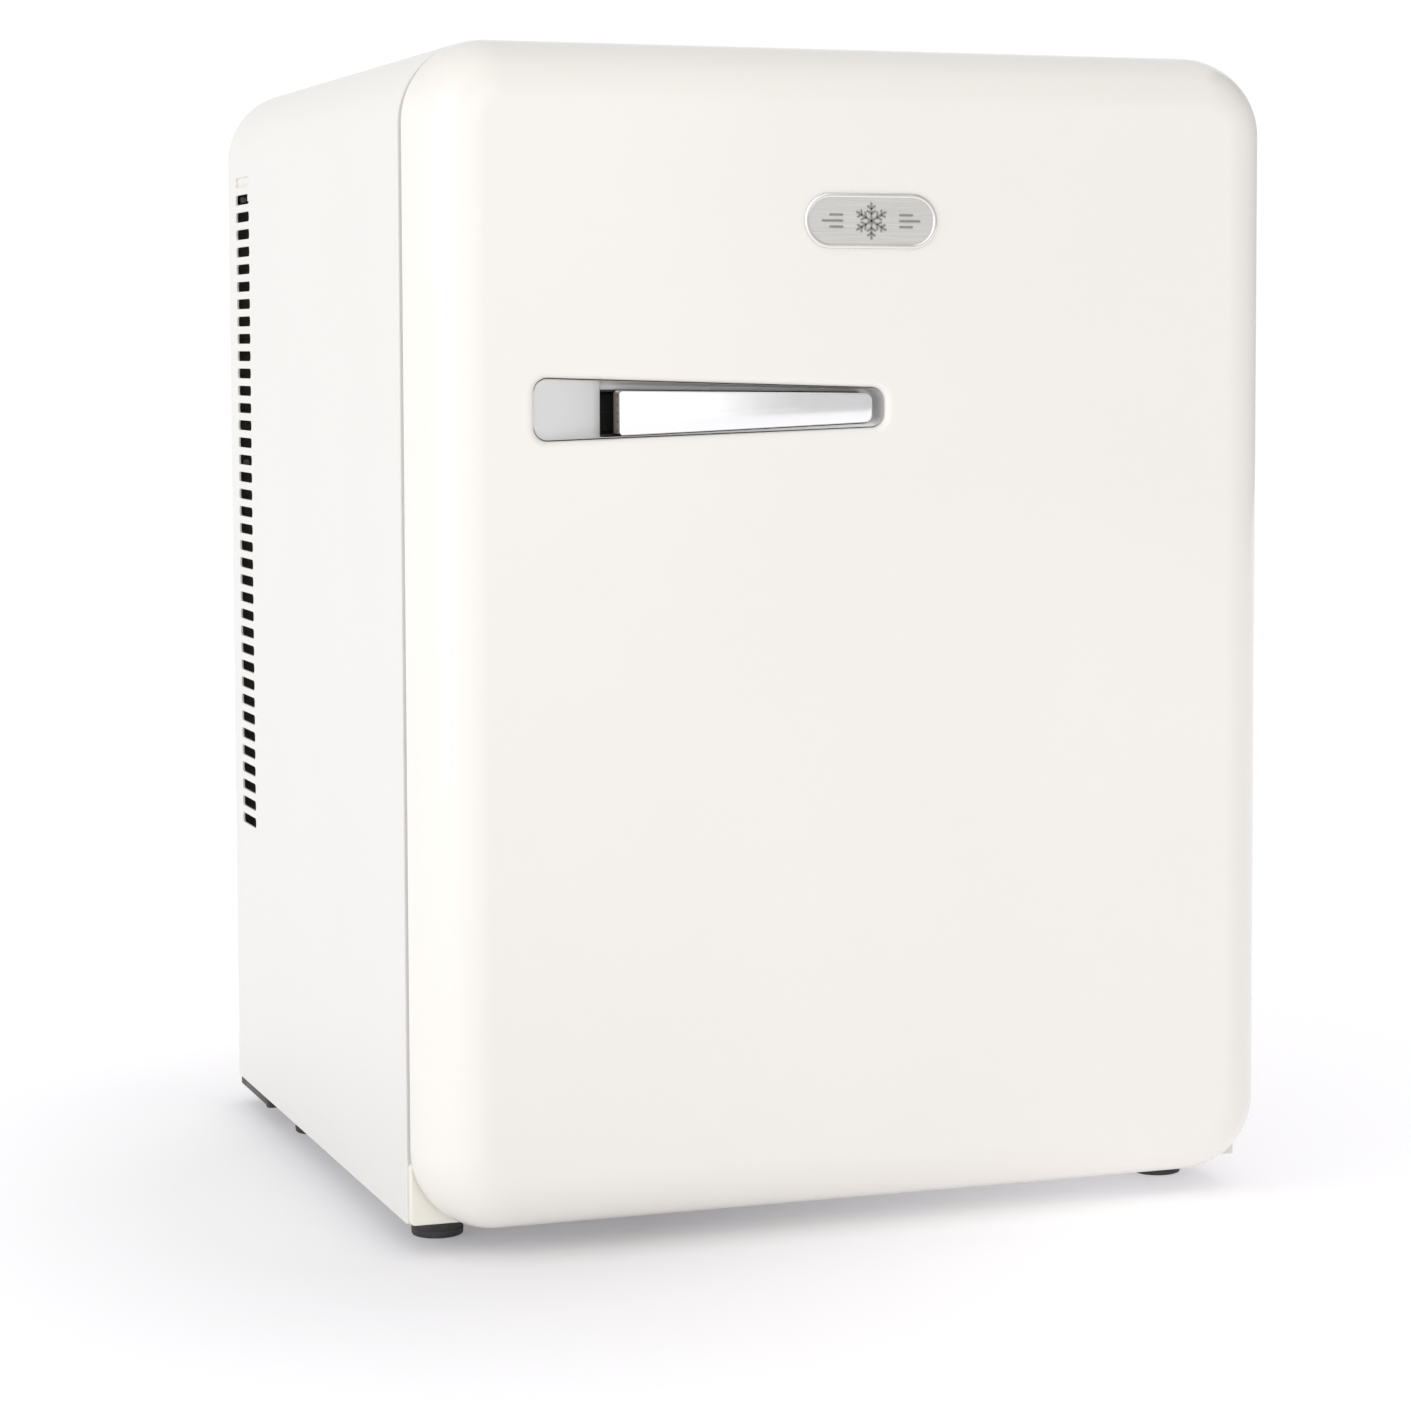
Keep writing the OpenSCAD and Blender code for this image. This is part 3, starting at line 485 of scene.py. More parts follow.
# Tone, roughness, metallic share, and the patterns of the tint, the roughness and the relief.
# A pattern is the size in millimetres, the detail (or the kind of cells) and the stretch.
SURFACES = {
    # Door and cabinet wear the same cream paint. The cabinet's tone is set darker to offset the left
    # softbox on its side, a painted shade, and the door's lighter to brighten its front and its edge
    # highlight, a painted light.
    "cabinet_enamel": enamel((0.77, 0.76, 0.73)),
    "door_enamel": enamel((0.84, 0.813, 0.765)),
    "cover_enamel": (
        (0.80, 0.785, 0.74), 0.42, 0, ((90, 3), 0.96), ((25, 4), 0.38, 0.5), ((0.9, 3), 0.03, 0.5)
    ),
    "rail_plastic": moulded((0.82, 0.80, 0.72), 0.38, 0.6, 0.02),
    "liner_plastic": moulded((0.83, 0.84, 0.835), 0.32, 1.4, 0.004),
    "white_plastic": moulded((0.84, 0.845, 0.84), 0.33, 0.7, 0.005),
    "rack_plastic": moulded((0.80, 0.83, 0.84), 0.22, 0.9, 0.004),
    "dark_plastic": moulded((0.035, 0.035, 0.036), 0.5, 0.5, 0.04),
    "fan_plastic": moulded((0.022, 0.022, 0.024), 0.42, 0.8, 0.02),
    # Dark painted shade for the duct's inside faces that show through the vents.
    "vent_painted_shade": moulded((0.11, 0.106, 0.085), 0.8, 1.2, 0.05),
    "nylon": moulded((0.78, 0.76, 0.68), 0.45, 0.7, 0.02),
    "tray_silver": moulded((0.72, 0.72, 0.715), 0.35, 0.35, 0.004),
    # Near-black painted shade for the deep pocket behind the handle bar.
    "tray_painted_shade": moulded((0.03, 0.029, 0.027), 0.45, 0.35, 0.01),
    # Olive tone of the bar's end: a painted dark reflection of the chrome end face.
    "end_painted_reflection": moulded((0.20, 0.18, 0.145), 0.45, 0.35, 0.02),
    "foot_rubber": (
        (0.045, 0.044, 0.044), 0.72, 0, ((7, 5), (0.075, 0.073, 0.07), (0.45, 0.8)),
        ((4, 4), 0.6, 0.85), ((0.4, 4), 0.05, 0.7),
    ),
    "seal_rubber": ((0.56, 0.55, 0.50), 0.5, 0, ((30, 3), 0.9), None, ((0.6, 3), 0.03, 0.5)),
    "magnet_strip": (
        (0.05, 0.045, 0.04), 0.6, 0, ((2, 4), (0.08, 0.07, 0.06)), None, ((0.4, 4), 0.03, 0.5)
    ),
    "handle_chrome": plated((0.93, 0.932, 0.935), 0.10, 0.14),
    "wire_chrome": plated((0.80, 0.805, 0.81), 0.08, 0.18),
    "badge_rim": plated((0.82, 0.81, 0.79), 0.08, 0.16),
    "zinc_steel": (
        (0.58, 0.59, 0.60), 0.35, 1, ((7, "F1"), 0.86, (0.0, 0.7)),
        ((5, 4), 0.28, 0.46), ((0.6, 3), 0.01, 0.4),
    ),
    "aluminium": (
        (0.66, 0.67, 0.68), 0.34, 1, ((1.2, 3, (1, 1, 0.03)), 0.88),
        ((0.8, 3, (1, 1, 0.02)), 0.26, 0.44), ((0.5, 2, (1, 1, 0.02)), 0.01, 0.4),
    ),
    "badge_metal": (
        (0.64, 0.63, 0.60), 0.3, 0.3, ((0.5, 3, (0.02, 1, 1)), 0.85),
        ((0.4, 3, (0.02, 1, 1)), 0.24, 0.4), ((0.25, 2, (0.02, 1, 1)), 0.004, 0.5),
    ),
    "badge_relief": ((0.30, 0.295, 0.28), 0.36, 0.5, ((1.5, 3), 0.8), ((1, 3), 0.3, 0.45), None),
    "brass": ((0.70, 0.53, 0.22), 0.26, 1, ((2.5, 3), (0.58, 0.42, 0.17)), ((1.2, 3), 0.2, 0.38), None),
    "blown_foam": ((0.74, 0.62, 0.34), 0.85, 0, ((8, 4), 0.82), None, ((0.8, "F1"), 0.25, 0.8)),
    "bead_foam": (
        (0.86, 0.845, 0.79), 0.75, 0, ((4, "F1"), 0.9, (0.2, 0.7)), None, ((4, "F1"), 0.3, 0.7)
    ),
    "ceramic": ((0.82, 0.82, 0.79), 0.5, 0, ((3, 3), (0.76, 0.76, 0.73)), None, ((0.3, 3), 0.01, 0.5)),
    "board_green": (
        (0.015, 0.12, 0.035), 0.3, 0, ((2.4, "SMOOTH_F1"), (0.03, 0.2, 0.07), (0.2, 0.6)),
        None, ((2.4, "SMOOTH_F1"), 0.03, 0.5),
    ),
    "frosted": ((0.88, 0.93, 0.95), 0.45, 0, ((6, 3), (0.82, 0.88, 0.91)), None, ((0.5, 3), 0.02, 0.6)),
    "light_table": (
        (0.72, 0.715, 0.73), 0.9, 0, ((400, 2), (0.715, 0.71, 0.725)), None, ((2, 3), 0.02, 0.3)
    ),
}  # fmt: skip
SOCKETS = {
    "cabinet_enamel": {"Coat Weight": 0.15, "Coat Roughness": 0.1},
    "door_enamel": {"Coat Weight": 0.8, "Coat Roughness": 0.1},
    "rack_plastic": {"Transmission Weight": 0.35, "IOR": 1.49},
    "frosted": {"Transmission Weight": 0.6, "IOR": 1.49},
    "tray_silver": {"Metallic": 0.15},
    "light_table": {"Emission Color": (1, 0.98, 1, 1)},
}
LOOKS = {}


def find_look(name):
    """Makes a material the first time it is asked for, and hands out the same one after that."""
    if name not in LOOKS:
        tone, roughness, metallic, tint, vary, bump = SURFACES[name]
        look = Look(name, tone, roughness, metallic)
        look.set(SOCKETS.get(name, {}))
        look.tint(*tint)
        if vary:
            look.vary(*vary)
        if bump:
            look.bump(*bump)
        LOOKS[name] = look
    return LOOKS[name]


# ---- door

DOOR_LOW, DOOR_HIGH = box("door_skin")
DOOR_T = DOOR_HIGH.y - DOOR_LOW.y
DOOR_EDGE = 27
CORNER = 36
SKIN = 1.5
RIM_ROLL = 3.0
RIM_FLAT = 0.6


def door_ring(inset, y):
    return inset_ring(DOOR_LOW, DOOR_HIGH, inset, "y", y, max(CORNER - inset, 6), 20)


def door_side(inset, steps):
    """Rings of the elliptical edge, from the rear to the front."""
    rings = []
    for i in range(steps + 1):
        a = pi / 2 * i / steps
        run_in = DOOR_EDGE * (1 - cos(a))
        rings.append(door_ring(inset + run_in, DOOR_HIGH.y - (DOOR_T - inset) * sin(a)))
    return rings


WALL = 1.5
TRAY_LOW, TRAY_HIGH = box("handle_tray")
BAR_LOW, BAR_HIGH = box("handle_bar")
RECESS_LEFT, RECESS_RIGHT = TRAY_LOW.x + WALL, TRAY_HIGH.x - WALL
RECESS_MID = (TRAY_LOW.z + TRAY_HIGH.z) / 2
RECESS_H = (TRAY_HIGH.z - TRAY_LOW.z - 2 * WALL, 17.4)
RIM_LEFT, RIM_RIGHT = ((RECESS_MID - h / 2, RECESS_MID + h / 2) for h in RECESS_H)
RECESS_R = (6, 6)
RIM_DEPTH = 2.1
RAMP_END = RECESS_LEFT + 31.7
RAMP_DEPTH = 10
RAMP_LIP = RAMP_DEPTH + 0.35
LEDGE_DEPTH = BAR_HIGH.y - DOOR_LOW.y
SLOT_DEPTH = TRAY_HIGH.y - WALL - DOOR_LOW.y
BAR_LEFT_Z = (BAR_LOW.z, BAR_HIGH.z)
BAR_RIGHT_Z = (BAR_LOW.z + 4.6, BAR_HIGH.z - 1.6)
BAR_T = 10


def tapered_ring(x, z_left, z_right, radius, grow=0.0, stops=(), steps=6):
    """Outline with round corners, from the heights z_left at the left to z_right at the right.
    stops are extra places along the two long edges, as shares of their length."""
    r0, r1 = radius
    left, right = x[0] + r0, x[1] - r1

    def arc(cx, cz, r, a, b):
        turns = [a + (b - a) * i / steps for i in range(steps + 1)]
        return [polar(r, t, cx, cz) for t in turns]

    def edge(k, side):
        """Corner centres and the angle of the edge's normal, for the lower (0) or upper (1) edge."""
        a = Vector((left, z_left[k] - side * r0))
        b = Vector((right, z_right[k] - side * r1))
        lean = atan2((b - a).y, (b - a).x) + side * acos((r0 - r1) / (b - a).length)
        return a, b, lean

    (low_left, low_right, down), (up_left, up_right, rise) = edge(0, -1), edge(1, 1)
    r0, r1 = r0 + grow, r1 + grow
    upper = arc(*up_right, r1, 0, rise)
    turn = arc(*up_left, r0, rise, pi)
    back = arc(*low_left, r0, pi, 2 * pi + down)
    last = arc(*low_right, r1, down, 0)

    def between(a, b, shares):
        return [(a[0] + (b[0] - a[0]) * t, a[1] + (b[1] - a[1]) * t) for t in shares]

    upper += between(upper[-1], turn[0], [1 - t for t in reversed(stops)])
    lower = between(back[-1], last[0], stops)
    return upper + turn + back + lower + last


def recess_ring(grow):
    return tapered_ring((RECESS_LEFT, RECESS_RIGHT), RIM_LEFT, RIM_RIGHT, RECESS_R, grow)


TONGUE = 3
SLIT = 4
SLIT_LEVELS = (box("hinge_bracket_upper")[0].z - 0.5, box("hinge_bracket_lower")[1].z - TONGUE - 0.5)


def hinge_cutters():
    """Slits that the hinge tongues pass through, from the rear round to the right side."""
    x, y, _ = middle(*box("hinge_pin_upper"))
    r, reach, swing = 7.6, 30, radians(105)
    edge = Vector(polar(r, -swing))
    way = Vector((sin(swing), cos(swing))) * reach
    outline = [(-r, reach), (reach, reach), tuple(edge + way), tuple(edge)]
    outline += [polar(r, -swing - (pi - swing) * i / 8) for i in range(1, 9)]
    cutter = Shape()
    for z in SLIT_LEVELS:
        cutter.prism(outline, "z", (z, z + SLIT), (x, y))
    return cutter


def build_door_skin():
    skin = Shape()
    outer = door_side(0, 26)
    lip = [door_ring(i, DOOR_HIGH.y - d) for i, d in reversed(quarter(0.7, 3))]
    inner = door_side(SKIN, 12)[::-1]
    skin.loft(inner + [door_ring(SKIN, DOOR_HIGH.y)] + lip + outer[1:])
    door = skin.object("door_skin_shell", "door_enamel")
    cutter = Shape()
    cutter.prism(recess_ring(RIM_ROLL + RIM_FLAT), "y", (DOOR_LOW.y - 4, DOOR_LOW.y + 4))
    carve(door, cutter)
    carve(door, hinge_cutters())
    rim = Shape()
    section = [(RIM_ROLL + RIM_FLAT, 0.0), *((g, d) for d, g in quarter(RIM_ROLL, 8))]
    section += [(0, 4.6), (0.25, 4.9), (1.2, 4.9), (1.5, 4.6), (1.6, 2.6), (2.6, SKIN), (3.6, SKIN)]
    rim.loft([at(recess_ring(g), "y", DOOR_LOW.y + d) for g, d in section], loop=True)
    join(door, rim.object("rim", "door_enamel"))
    shade(door, 40)
    even_out(door)
    place(door, "door", "door_enamel", "door_skin")


def join(target, *others):
    """Adds the meshes of other objects to the target and removes them."""
    work = bmesh.new()
    work.from_mesh(target.data)
    for other in others:
        work.from_mesh(other.data)
        bpy.data.objects.remove(other)
    work.to_mesh(target.data)
    work.free()


def edges_at(x, x0, x1, left, right):
    """Lower and upper height at x of a bar that tapers from left to right."""
    t = (x - x0) / (x1 - x0)
    return tuple(a + (b - a) * t for a, b in zip(left, right))


def build_handle_tray():
    """Silver ramp at the left, a ledge round the bar, and the finger slot behind the bar. The drop at the
    ramp's end, the bar's side of the ledge and the slot are painted near-black: painted shade of the deep
    pocket.
    """
    corner = RECESS_R[0]

    def recess_edges(x):
        return edges_at(x, RECESS_LEFT, RECESS_RIGHT, RIM_LEFT, RIM_RIGHT)

    def column(x, depth):
        """Open line from the upper rim over the ramp to the lower rim."""
        low, high = recess_edges(x)
        gone = corner - min(corner, x - RECESS_LEFT)
        pull = 0.25 + corner - sqrt(max(corner**2 - gone**2, 0.0))
        low, high, wall = low + pull, high - pull, max(0.0, depth - RIM_DEPTH)
        soft = min(1.0, wall)
        line = [(RIM_DEPTH, high), (RIM_DEPTH + wall - soft, high), (depth - 0.3 * soft, high - 0.3 * soft)]
        line += [(depth, high - soft + (low - high + 2 * soft) * i / 8) for i in range(9)]
        line += [(d, low + high - z) for d, z in reversed(line[:3])]
        return [(x, DOOR_LOW.y + d, z) for d, z in line]

    tray = Shape()
    places = [RECESS_LEFT - 0.15 + 6.1 * (1 - cos(pi / 2 * i / 6)) for i in range(7)]
    places += [RECESS_LEFT + 6 + (RAMP_END - RECESS_LEFT - 6.4) * i / 8 for i in range(1, 9)]
    fall = (RAMP_DEPTH - RIM_DEPTH) / (RAMP_END - RECESS_LEFT)
    columns = [column(x, RIM_DEPTH + fall * (x - RECESS_LEFT)) for x in places]
    columns += [column(RAMP_END - 0.1, RAMP_DEPTH + 0.1), column(RAMP_END, RAMP_LIP)]
    tray.sheet(columns)
    # The drop at the ramp's end takes the near-black painted shade.
    tray.sheet([columns[-1], column(RAMP_END, SLOT_DEPTH)], slot=1)

    shares = (0.0005, 0.1, 0.25, 0.4, 0.55, 0.7, 0.85)
    low, high = recess_edges(RAMP_END)

    def bar_edges(x, grow):
        a, b = edges_at(x, BAR_LOW.x, BAR_HIGH.x, BAR_LEFT_Z, BAR_RIGHT_Z)
        return a - grow, b + grow

    def opened(ring, depth_at):
        """The ring without its left side, as a line from the lower left round to the upper left."""
        half = len(ring) // 2
        return [(x, DOOR_LOW.y + depth_at(x, z), z) for x, z in ring[half:] + ring[:half]]

    def well(share, lower, upper):
        """Line from the rim of the recess (share 0) to the side of the bar (share 1)."""
        outer, inner, ends = RECESS_RIGHT - 0.25, BAR_HIGH.x + 0.35, []
        for x, edges in ((RAMP_END, (low, high)), (RECESS_RIGHT, RIM_RIGHT)):
            near = bar_edges(min(x, BAR_HIGH.x), 0.35)
            wide = edges[0] + 0.25, edges[1] - 0.25
            ends.append(tuple(a + (b - a) * share for a, b in zip(wide, near)))
        last, radius = outer + (inner - outer) * share, RECESS_R[1] - 0.25 - share * 1.6
        ring = tapered_ring((RAMP_END, last), *ends, (0.02, radius), 0, shares)

        def depth_at(x, z):
            a, b = edges_at(min(x, last), RAMP_END, last, *ends)
            up = min(max((z - a) / (b - a) / 0.35, 0), 1)
            return lower + (upper - lower) * up * up * (3 - 2 * up)

        return opened(ring, depth_at)

    def slot(grow, depth, squeeze=0.0):
        x0, x1 = RAMP_END, BAR_HIGH.x - 26.6
        left, right = bar_edges(x0, grow), bar_edges(x1, grow)
        ring = tapered_ring((x0, x1 + grow), left, right, (0.02, 4), 0, shares)
        mid = (left[0] + left[1]) / 2
        return opened([(x, mid + (z - mid) * (1 - squeeze)) for x, z in ring], lambda x, z: depth)

    profile = [(0, RIM_DEPTH, RIM_DEPTH), (0.03, 2.2, 3.4), (0.1, 2.3, 9.5), (0.2, 2.4, 11.6)]
    profile += [(0.35, 2.6, 12.4), (0.6, 2.8, 12.6), (0.9, 3.1, 12.7), (1, 3.4, 12.8)]
    rings = [well(*step) for step in profile]
    tray.sheet(rings)
    for end in (0, -1):
        line = [ring[end] for ring in rings if ring[end][1] < DOOR_LOW.y + RAMP_LIP]
        tray.sheet([line, [(x, DOOR_LOW.y + RAMP_LIP, z) for x, y, z in line]])
    # The bar's side of the well, the ledge and the slot take the near-black painted shade.
    dark = [rings[-1], well(1, 9, 12.9), well(1, LEDGE_DEPTH, LEDGE_DEPTH), slot(-0.5, LEDGE_DEPTH)]
    dark += [slot(-0.6, LEDGE_DEPTH + 0.6), slot(-0.7, SLOT_DEPTH - 1), slot(-1.6, SLOT_DEPTH)]
    dark += [slot(-1.6, SLOT_DEPTH, s) for s in (0.5, 0.999)]
    tray.sheet(dark, slot=1)
    obj = tray.object("handle_recess_tray", "tray_silver", "tray_painted_shade", sharp=45)
    place(obj, "door", "tray_plastic", "handle_tray")


def build_handle_bar():
    front, back = BAR_LOW.y, BAR_LOW.y + BAR_T
    middle_x, half_l = (BAR_LOW.x + BAR_HIGH.x) / 2, (BAR_HIGH.x - BAR_LOW.x) / 2
    shares = (0.12, 0.25, 0.4, 0.55, 0.7, 0.85)
    bow = 1.0

    def ring(grow, depth, squeeze=0.0, bowed=True):
        flat = tapered_ring((BAR_LOW.x, BAR_HIGH.x), BAR_LEFT_Z, BAR_RIGHT_Z, (1.5, 3.6), grow, shares)
        points = []
        for x, z in flat:
            mid = sum(edges_at(x, BAR_LOW.x, BAR_HIGH.x, BAR_LEFT_Z, BAR_RIGHT_Z)) / 2
            sink = bow * ((x - middle_x) / half_l) ** 2 if bowed else 0
            points.append((x, front + depth + sink, mid + (z - mid) * (1 - squeeze)))
        return points

    edge, crown = 0.9, 0.25
    rings = [ring(-0.5, BAR_T, 0, False), ring(0, BAR_T - 0.5, 0, False)]
    rings += [ring(-i, d + crown) for i, d in quarter(edge, 5)]
    for s in (0.2, 0.4, 0.6, 0.8, 0.999):
        rings.append(ring(-edge, crown * (1 - s) ** 2, s))
    bar = Shape()
    bar.loft(rings)
    post_x, post_z = BAR_HIGH.x - 25.6, 367
    bar.slab((post_x, back - 0.5, post_z - 4), (post_x + 20, BAR_HIGH.y, post_z + 4), "y", 3, 0.5)
    obj = bar.object("handle_pull_bar", "handle_chrome", sharp=40)
    place(obj, "door", "handle_chrome", "handle_bar")
    # End cap with an olive tone that paints the dark reflection of the chrome end face; its dots are dark
    # plastic.
    cap = Shape()
    face = BAR_LOW.x - 0.35
    low, high = (face, front + 2.0, BAR_LOW.z + 0.8), (face + 0.8, back - 0.4, BAR_HIGH.z - 0.8)
    cap.slab(low, high, "x", 0.9, 0.25)
    for k in range(5):
        z = BAR_LOW.z + 2.2 + k * (BAR_HIGH.z - BAR_LOW.z - 4.4) / 4
        cap.lathe([(0.55, 0.1), (0.55, -0.1), (0.4, -0.2)], (face, front + 3.4, z), "x", 12, slot=1)
    place(cap.object("handle_end_cap", "end_painted_reflection", "dark_plastic"), "door", "handle_chrome")


def build_badge():
    low, high = box("badge_plate")
    radius = (high.z - low.z) / 2 * 0.999
    section = [(0.1, high.y), (0, high.y - 0.3), (0.15, low.y + 0.15), (0.5, low.y)]
    section += [(1.5, low.y), (1.9, low.y + 0.12), (2.05, low.y + 0.4)]
    rings = [inset_ring(low, high, i, "y", y, radius - i, 16) for i, y in section]
    plate = Shape()
    plate.loft(rings, caps=(True, False))
    plate.loft(rings[-1:], caps=(True, False), slot=1)
    place(plate.object("badge_pill", "badge_rim", "badge_metal"), "door", "badge_metal", "badge_plate")
    flake = Shape()
    centre = Vector(middle(low, high)).xz
    top, base = low.y + 0.05, low.y + 0.45

    def stroke(a, b, width):
        """Thin ridge from a to b in the badge's plane, round at both ends."""
        a, b = Vector(a), Vector(b)
        turn = atan2((b - a).y, (b - a).x)
        rings = []
        for grow, y in ((0, base), (0, top + 0.12), (-0.12, top)):
            r = width / 2 + grow
            ring = []
            for mid, start in ((b, -90), (a, 90)):
                for i in range(7):
                    t = turn + radians(start + 30 * i)
                    ring.append(polar(r, t, *mid))
            rings.append(at(ring, "y", y, centre))
        flake.loft(rings)

    for k in range(6):
        a = radians(90 + 60 * k)
        out = Vector(polar(1, a))
        stroke((0, 0), out * 7.6, 0.95)
        for reach, length in ((3.0, 2.2), (5.2, 2.0)):
            for side in (-1, 1):
                b = a + side * radians(55)
                tip = out * reach + Vector(polar(1, b)) * length
                stroke(out * reach, tip, 0.8)
    for side in (-1, 1):
        for rise, reach in ((0.0, 9.0), (2.6, 5.5), (-2.6, 5.5)):
            stroke((side * 13.5, rise), (side * (13.5 + reach), rise), 0.9)
    place(flake.object("badge_crystal", "badge_relief"), "door", "badge_relief", "badge_emblem")


def build_gasket():
    low, high = box("door_gasket")
    section = [
        (1, 0), (13, 0), (13, 1.0), (14, 1.7), (13.8, 2.9), (12.3, 3.5), (13.7, 4.2), (14, 5.6),
        (13.3, 7.0), (12, 7.4), (9, 7.15), (5, 7.15), (2, 7.4), (0.7, 7.0), (0, 5.6), (0.3, 4.2),
        (1.7, 3.5), (0.2, 2.9), (0, 1.7), (1, 1.0),
    ]  # fmt: skip
    rings = []
    for inset, rise in section:
        level = low.y + min(rise, high.y - low.y)
        rings.append(inset_ring(low, high, inset, "y", level, max(16 - inset, 2)))
    seal = Shape()
    seal.loft(rings, loop=True)
    place(seal.object("door_seal_bellows", "seal_rubber", sharp=50), "door", "seal_rubber", "door_gasket")


def build_door_liner():
    low, high = box("door_liner")
    face = DOOR_HIGH.y
    section = [(0, low.y, 34), (0, face - 0.6, 34), (0.2, face - 0.2, 33.8), (0.6, face, 33.4)]
    section += [(55, face, 20), (56.2, face - 0.25, 19), (57.4, face - 0.8, 18)]
    panel = Shape()
    panel.loft([inset_ring(low, high, i, "y", y, corner, 10) for i, y, corner in section])
    rib_low, rib_high = 75, 470
    lug_out = 2.8
    for side in (-1, 1):
        inner, outer = side * 146, side * 154
        panel.slab((inner, face - 1.0, rib_low), (outer, high.y, rib_high), "x", 11, 2.4, 4)
        for z in RACK_LUGS:
            lug = side * (146 - lug_out)
            panel.slab((side * 147, -152, z), (lug, -146, z + 6), "x", 1.2, 0.5)
    obj = panel.object("door_inner_panel", "liner_plastic", sharp=40)
    carve(obj, hinge_cutters())
    shade(obj, 40)
    place(obj, "door", "liner_plastic", "door_liner")


RACKS = ("rack_lower", "rack_upper")
RACK_LUGS = [box(name)[0].z + 30 for name in RACKS]


def build_rack(name):
    low, high = box(name)
    wall, corner = 2.4, 7
    section = [(3, low.z), (1.2, low.z + 0.4), (0.3, low.z + 1.2), (0, low.z + 2.4)]
    section += [(0, high.z - 3.2), (0.5, high.z - 2.6), (0.5, high.z - 0.8), (0.8, high.z - 0.2)]
    section += [(1.3, high.z), (wall - 0.5, high.z), (wall - 0.1, high.z - 0.4), (wall, high.z - 1)]
    section += [(wall, low.z + 6), (wall + 0.5, low.z + 4.7), (wall + 3, low.z + 2.3)]
    section += [(wall + 4.2, low.z + 2)]
    rack = Shape()
    rack.loft([inset_ring(low, high, i, "z", z, max(corner - i, 1), 6) for i, z in section])
    obj = rack.object(name + "_tray", "rack_plastic", sharp=40)
    notch = Shape()
    for side in (-1, 1):
        a, b = side * (high.x + 1), side * (high.x - wall - 0.2)
        notch.slab((a, -152.5, low.z - 1), (b, -145.5, low.z + 36.3), "x", 1.0, 0.01, 1)
    carve(obj, notch)
    shade(obj, 40)
    place(obj, name, "rack_plastic", name)
    low, high = box(name + "_rail")
    r = 1.5
    y = (low.y + high.y) / 2
    left, right, foot, top = low.x + r, high.x - r, low.z - 2, high.z - r
    corners = [(left, y, foot), (left, y, top), (right, y, top), (right, y, foot)]
    wire = Shape()
    wire.tube(bent_path(corners, 9, 8), r, sides=16)
    place(wire.object(name + "_wire", "wire_chrome", sharp=60), name, "wire_chrome", name + "_rail")


# ---- cabinet

SHELL_LOW, SHELL_HIGH = box("outer_shell")


def arch_path(inset, bottom, steps=24):
    """Cabinet outline from the lower right, over the top, to the lower left; open at the bottom."""
    x, top, r = SHELL_HIGH.x - inset, SHELL_HIGH.z - inset, CORNER - inset
    path = [(x, bottom)]
    for cx, start in ((x - r, 0), (r - x, 90)):
        for i in range(steps + 1):
            path.append(polar(r, radians(start + 90 * i / steps), cx, top - r))
    path.append((-x, bottom))
    return path


VENT_COUNT = 37
VENT_PITCH = 8.8
VENT_TOP = SHELL_HIGH.z - 56


def vent_cutter():
    cutter = Shape()
    for i in range(-1, VENT_COUNT):
        z = VENT_TOP - i * VENT_PITCH
        ring = rect_ring((SHELL_HIGH.y - 50, z - 2.5), (SHELL_HIGH.y - 18, z + 2.5), 2, 4)
        for side in (-1, 1):
            edge = side * SHELL_HIGH.x
            cutter.prism(ring, "x", sorted((edge + side * 2, edge - side * 3)))
    return cutter


def paint_shade_inside(obj, found):
    """Second material, a dark painted shade, on the faces that look forward at a depth that is found right.
    """
    for face in obj.data.polygons:
        if face.normal.y < -0.9 and found(face.center.y / MM):
            face.material_index = 1


def build_outer_shell():
    front, rear, t = SHELL_LOW.y, SHELL_HIGH.y, 1.0
    flange = rear - 4.2
    section = [(i, front + d) for i, d in reversed(quarter(0.9, 4))][::-1]
    section += [(13.6, front), (14, front + 0.5), (13.6, front + t), (1.8, front + t), (t, front + 1.8)]
    section += [(t, flange), (9.6, flange), (10, flange + 0.5), (9.6, flange + t), (t, flange + t)]
    section += [(t, rear - 0.4), (0.6, rear), (0.4, rear), (0, rear - 0.4)]
    shell = Shape()
    rings = [at(arch_path(i, SHELL_LOW.z), "y", y) for i, y in section]
    shell.loft(rings, wrap=False, loop=True)
    count = len(arch_path(0, 0))
    for end in (0, count - 1):
        shell.faces.append(tuple(end + k * count for k in range(len(section))))
        shell.slots.append(0)
    obj = shell.object("cabinet_wrap", "cabinet_enamel", "vent_painted_shade")
    carve(obj, vent_cutter())
    # The inside of the shell's rear flange, seen through the vents, gets the dark painted shade.
    paint_shade_inside(obj, lambda y: y > flange - 0.1)
    slots = Shape()
    for z in SLIT_LEVELS:
        slots.slab((177.5, front - 1, z), (192.5, front + 4, z + SLIT), "y", 0.5, 0.01, 1)
    carve(obj, slots)
    soften(obj, 0.22)
    place(obj, "cabinet", "shell_enamel", "outer_shell")


